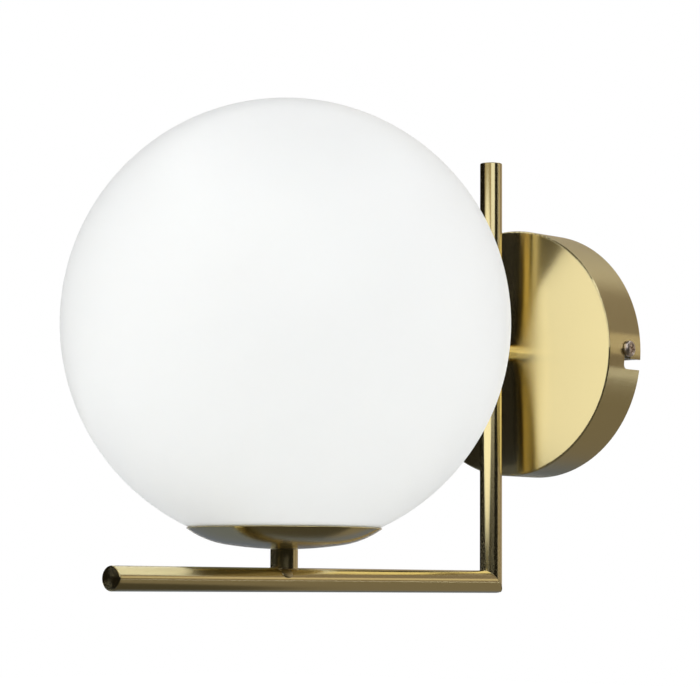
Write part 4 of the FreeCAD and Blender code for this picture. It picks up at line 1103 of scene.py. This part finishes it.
@dataclass
class Studio:
    """White surroundings, a pale floor, soft lamps, shades for the brass and the camera.

    The ground has three shades, split at ground_left across and at ground_back towards the wall; the dark
    middle one is a painted shadow under the light.
    The glow stands for the globe's lit back and the globe flag for its dark edge, as the cup
    mirrors them.
    """

    floor_level: float = -350.0
    floor_size: float = 9000.0
    floor_shade: str = "#F7F7F5"
    floor_lift: float = 0.27
    fill: float = 1.04
    ground_level: float = -345.0
    ground_half: float = 1600.0
    ground_left: float = -130.0
    ground_back: float = 60.0
    top_level: float = 2200.0
    top_radius: float = 1300.0
    glow_radius: float = 100.6
    glow_from: float = -150.0
    glow_fade: tuple[float, float] = (-145.0, -108.0)
    glow_strength: float = 1.22
    globe_flag_place: float = -95.0
    globe_flag: tuple[tuple[float, float], ...] = (
        (-43.0, 32.0), (-17.0, 62.0), (-12.0, 68.0), (-62.0, 68.0), (-78.0, 32.0))
    lens: float = 140.97
    azimuth: float = 41.115
    elevation: float = -4.982
    roll: float = 0.289
    camera_place: Point = (819.3, -1082.7, -115.2)
    cards: tuple[Card, ...] = (
        Card("flag_left", -139.0, -31.0, -1500.0, 2600.0, "#17140F"),
        Card("flag_low", -31.0, 116.0, -900.0, 60.0, "#1C1B17", 900.0),
        Card("flag_front", -31.0, 38.0, -1500.0, 1800.0, "#A39880"),
        Card("flag_right", 76.0, 114.0, -1500.0, 2600.0, "#2A2722"),
        Card("flag_back", 118.0, 165.0, -1500.0, 2600.0, "#857A6E"),
        Card("glint_back", 124.0, 151.0, 60.0, 560.0, "#CFC2AA", 2400.0),
        # Painted shade: a small dark card just in front of the cup, left of the upright, that darkens the
        # cup's mirror image of the globe there.
        Card("flag_gap", -50.0, -8.0, -58.0, 58.0, "#17140F", 46.0),
        Card("flag_far", 165.0, 221.0, -1500.0, 2600.0, "#A89E92"))
    lamps: tuple[Lamp, ...] = (
        Lamp("front_lamp", 30.0, 8.0, 900.0, 5.0), Lamp("left_lamp", -40.0, 25.0, 1200.0, 5.0),
        Lamp("right_back_lamp", 135.0, 5.0, 1200.0, 4.5),
        Lamp("left_back_lamp", -135.0, 5.0, 1200.0, 6.0))

    def build_world(self) -> None:
        """White to the camera, in gloss and through glass, and a plain fill light for the rest."""
        world = bpy.data.worlds.new("studio")
        tree = empty_tree(world)
        level = add(tree, "ShaderNodeMapRange",
                    {"Value": seen_rays(tree), "To Min": self.fill, "To Max": 1.0})
        sky = add(tree, "ShaderNodeBackground", {"Color": (1.0, 1.0, 1.0, 1.0), "Strength": level})
        add(tree, "ShaderNodeOutputWorld", [sky])
        bpy.context.scene.world = world

    def build_floor(self) -> None:
        """Plain pale floor, which looks as light as the surroundings."""
        half, level = self.floor_size / 2, self.floor_level
        floor = sheet_object("floor", flat_sheet([(-half, -half, level), (half, -half, level),
                                                  (half, half, level), (-half, half, level)]))
        paint = bpy.data.materials.new("studio_paper.matt")
        tree = empty_tree(paint)
        matt = add(tree, "ShaderNodeBsdfDiffuse", {"Color": linear(self.floor_shade)})
        lift = add(tree, "ShaderNodeMath", [seen_rays(tree), self.floor_lift], operation="MULTIPLY")
        glow = add(tree, "ShaderNodeEmission", {"Color": (1.0, 1.0, 1.0, 1.0), "Strength": lift})
        add(tree, "ShaderNodeOutputMaterial", [add(tree, "ShaderNodeAddShader", [matt, glow])])
        floor.data.materials.append(paint)

    def build_shades(self) -> None:
        """Darker ground with a painted shadow in its middle, darker ceiling, painted shade on the globe's
        edge and a painted glow on the globe's back, all only in the brass.
        """
        half, left, back, level = self.ground_half, self.ground_left, self.ground_back, self.ground_level
        # The middle shade is a painted shadow: the light's own shadow on the ground, as the dish and arm
        # mirror it.
        for name, shade, x0, y0, x1, y1 in (("ground_left", "#6A7180", -half, -half, left, half),
                                            ("ground_middle", "#474339", left, -half, half, back),
                                            ("ground_back", "#7C7467", left, back, half, half)):
            corners = [(x0, y0, level), (x1, y0, level), (x1, y1, level), (x0, y1, level)]
            glossy_only(name, flat_sheet(corners), shade)
        glow = bmesh.new()
        bmesh.ops.create_uvsphere(
            glow, u_segments=96, v_segments=48, radius=metres(self.glow_radius),
            matrix=Matrix.Translation(in_metres((0.0, -GLOBE_STANDOFF, GLOBE_CENTRE))))
        spent = [vert for vert in glow.verts if vert.co.y < metres(self.glow_from)]
        bmesh.ops.delete(glow, geom=spent, context="VERTS")
        glossy_only("glow_behind_globe", glow, "#F6F4EC", self.glow_strength, self.glow_fade)
        flag = flat_sheet([(x, self.globe_flag_place, z) for x, z in self.globe_flag])
        glossy_only("flag_over_globe", flag, "#2E2713")
        top = bmesh.new()
        bmesh.ops.create_circle(top, cap_ends=True, segments=48, radius=metres(self.top_radius),
                                matrix=Matrix.Translation((0.0, 0.0, metres(self.top_level))))
        glossy_only("flag_top", top, "#3A362F")

    def build_camera(self) -> None:
        """Camera at the photograph's viewing angle."""
        data = bpy.data.cameras.new("camera")
        data.lens, data.sensor_width, data.clip_end = self.lens, 36.0, 50.0
        made = linked("camera", data)
        turn, roll = math.radians(self.azimuth), math.radians(self.roll)
        back = direction(self.azimuth, self.elevation)
        right = Vector((math.cos(turn), math.sin(turn), 0.0))
        up = back.cross(right)
        level = math.cos(roll) * right + math.sin(roll) * up
        upright = math.cos(roll) * up - math.sin(roll) * right
        facing = Matrix((level, upright, back)).transposed().to_4x4()
        made.matrix_world = Matrix.Translation(in_metres(self.camera_place)) @ facing
        bpy.context.scene.camera = made

    def build(self) -> None:
        """Set up the whole studio."""
        self.build_camera()
        self.build_world()
        self.build_floor()
        self.build_shades()
        for thing in self.lamps + self.cards:
            thing.build()
        bpy.context.scene.view_settings.view_transform = "Standard"


def main() -> None:
    """Dress the frame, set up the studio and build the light's pieces."""
    logging.basicConfig(level=logging.INFO, format="%(name)s: %(message)s")
    turning, fastening = Turning(), Fastening()
    dress_all()
    Studio().build()
    GlobeShade(turning).build()
    Dish(turning).build()
    TubeFrame(turning).build()
    Screws(turning, fastening).build()
    TerminalScrews(turning, fastening).build()


if __name__ == "__main__":
    main()
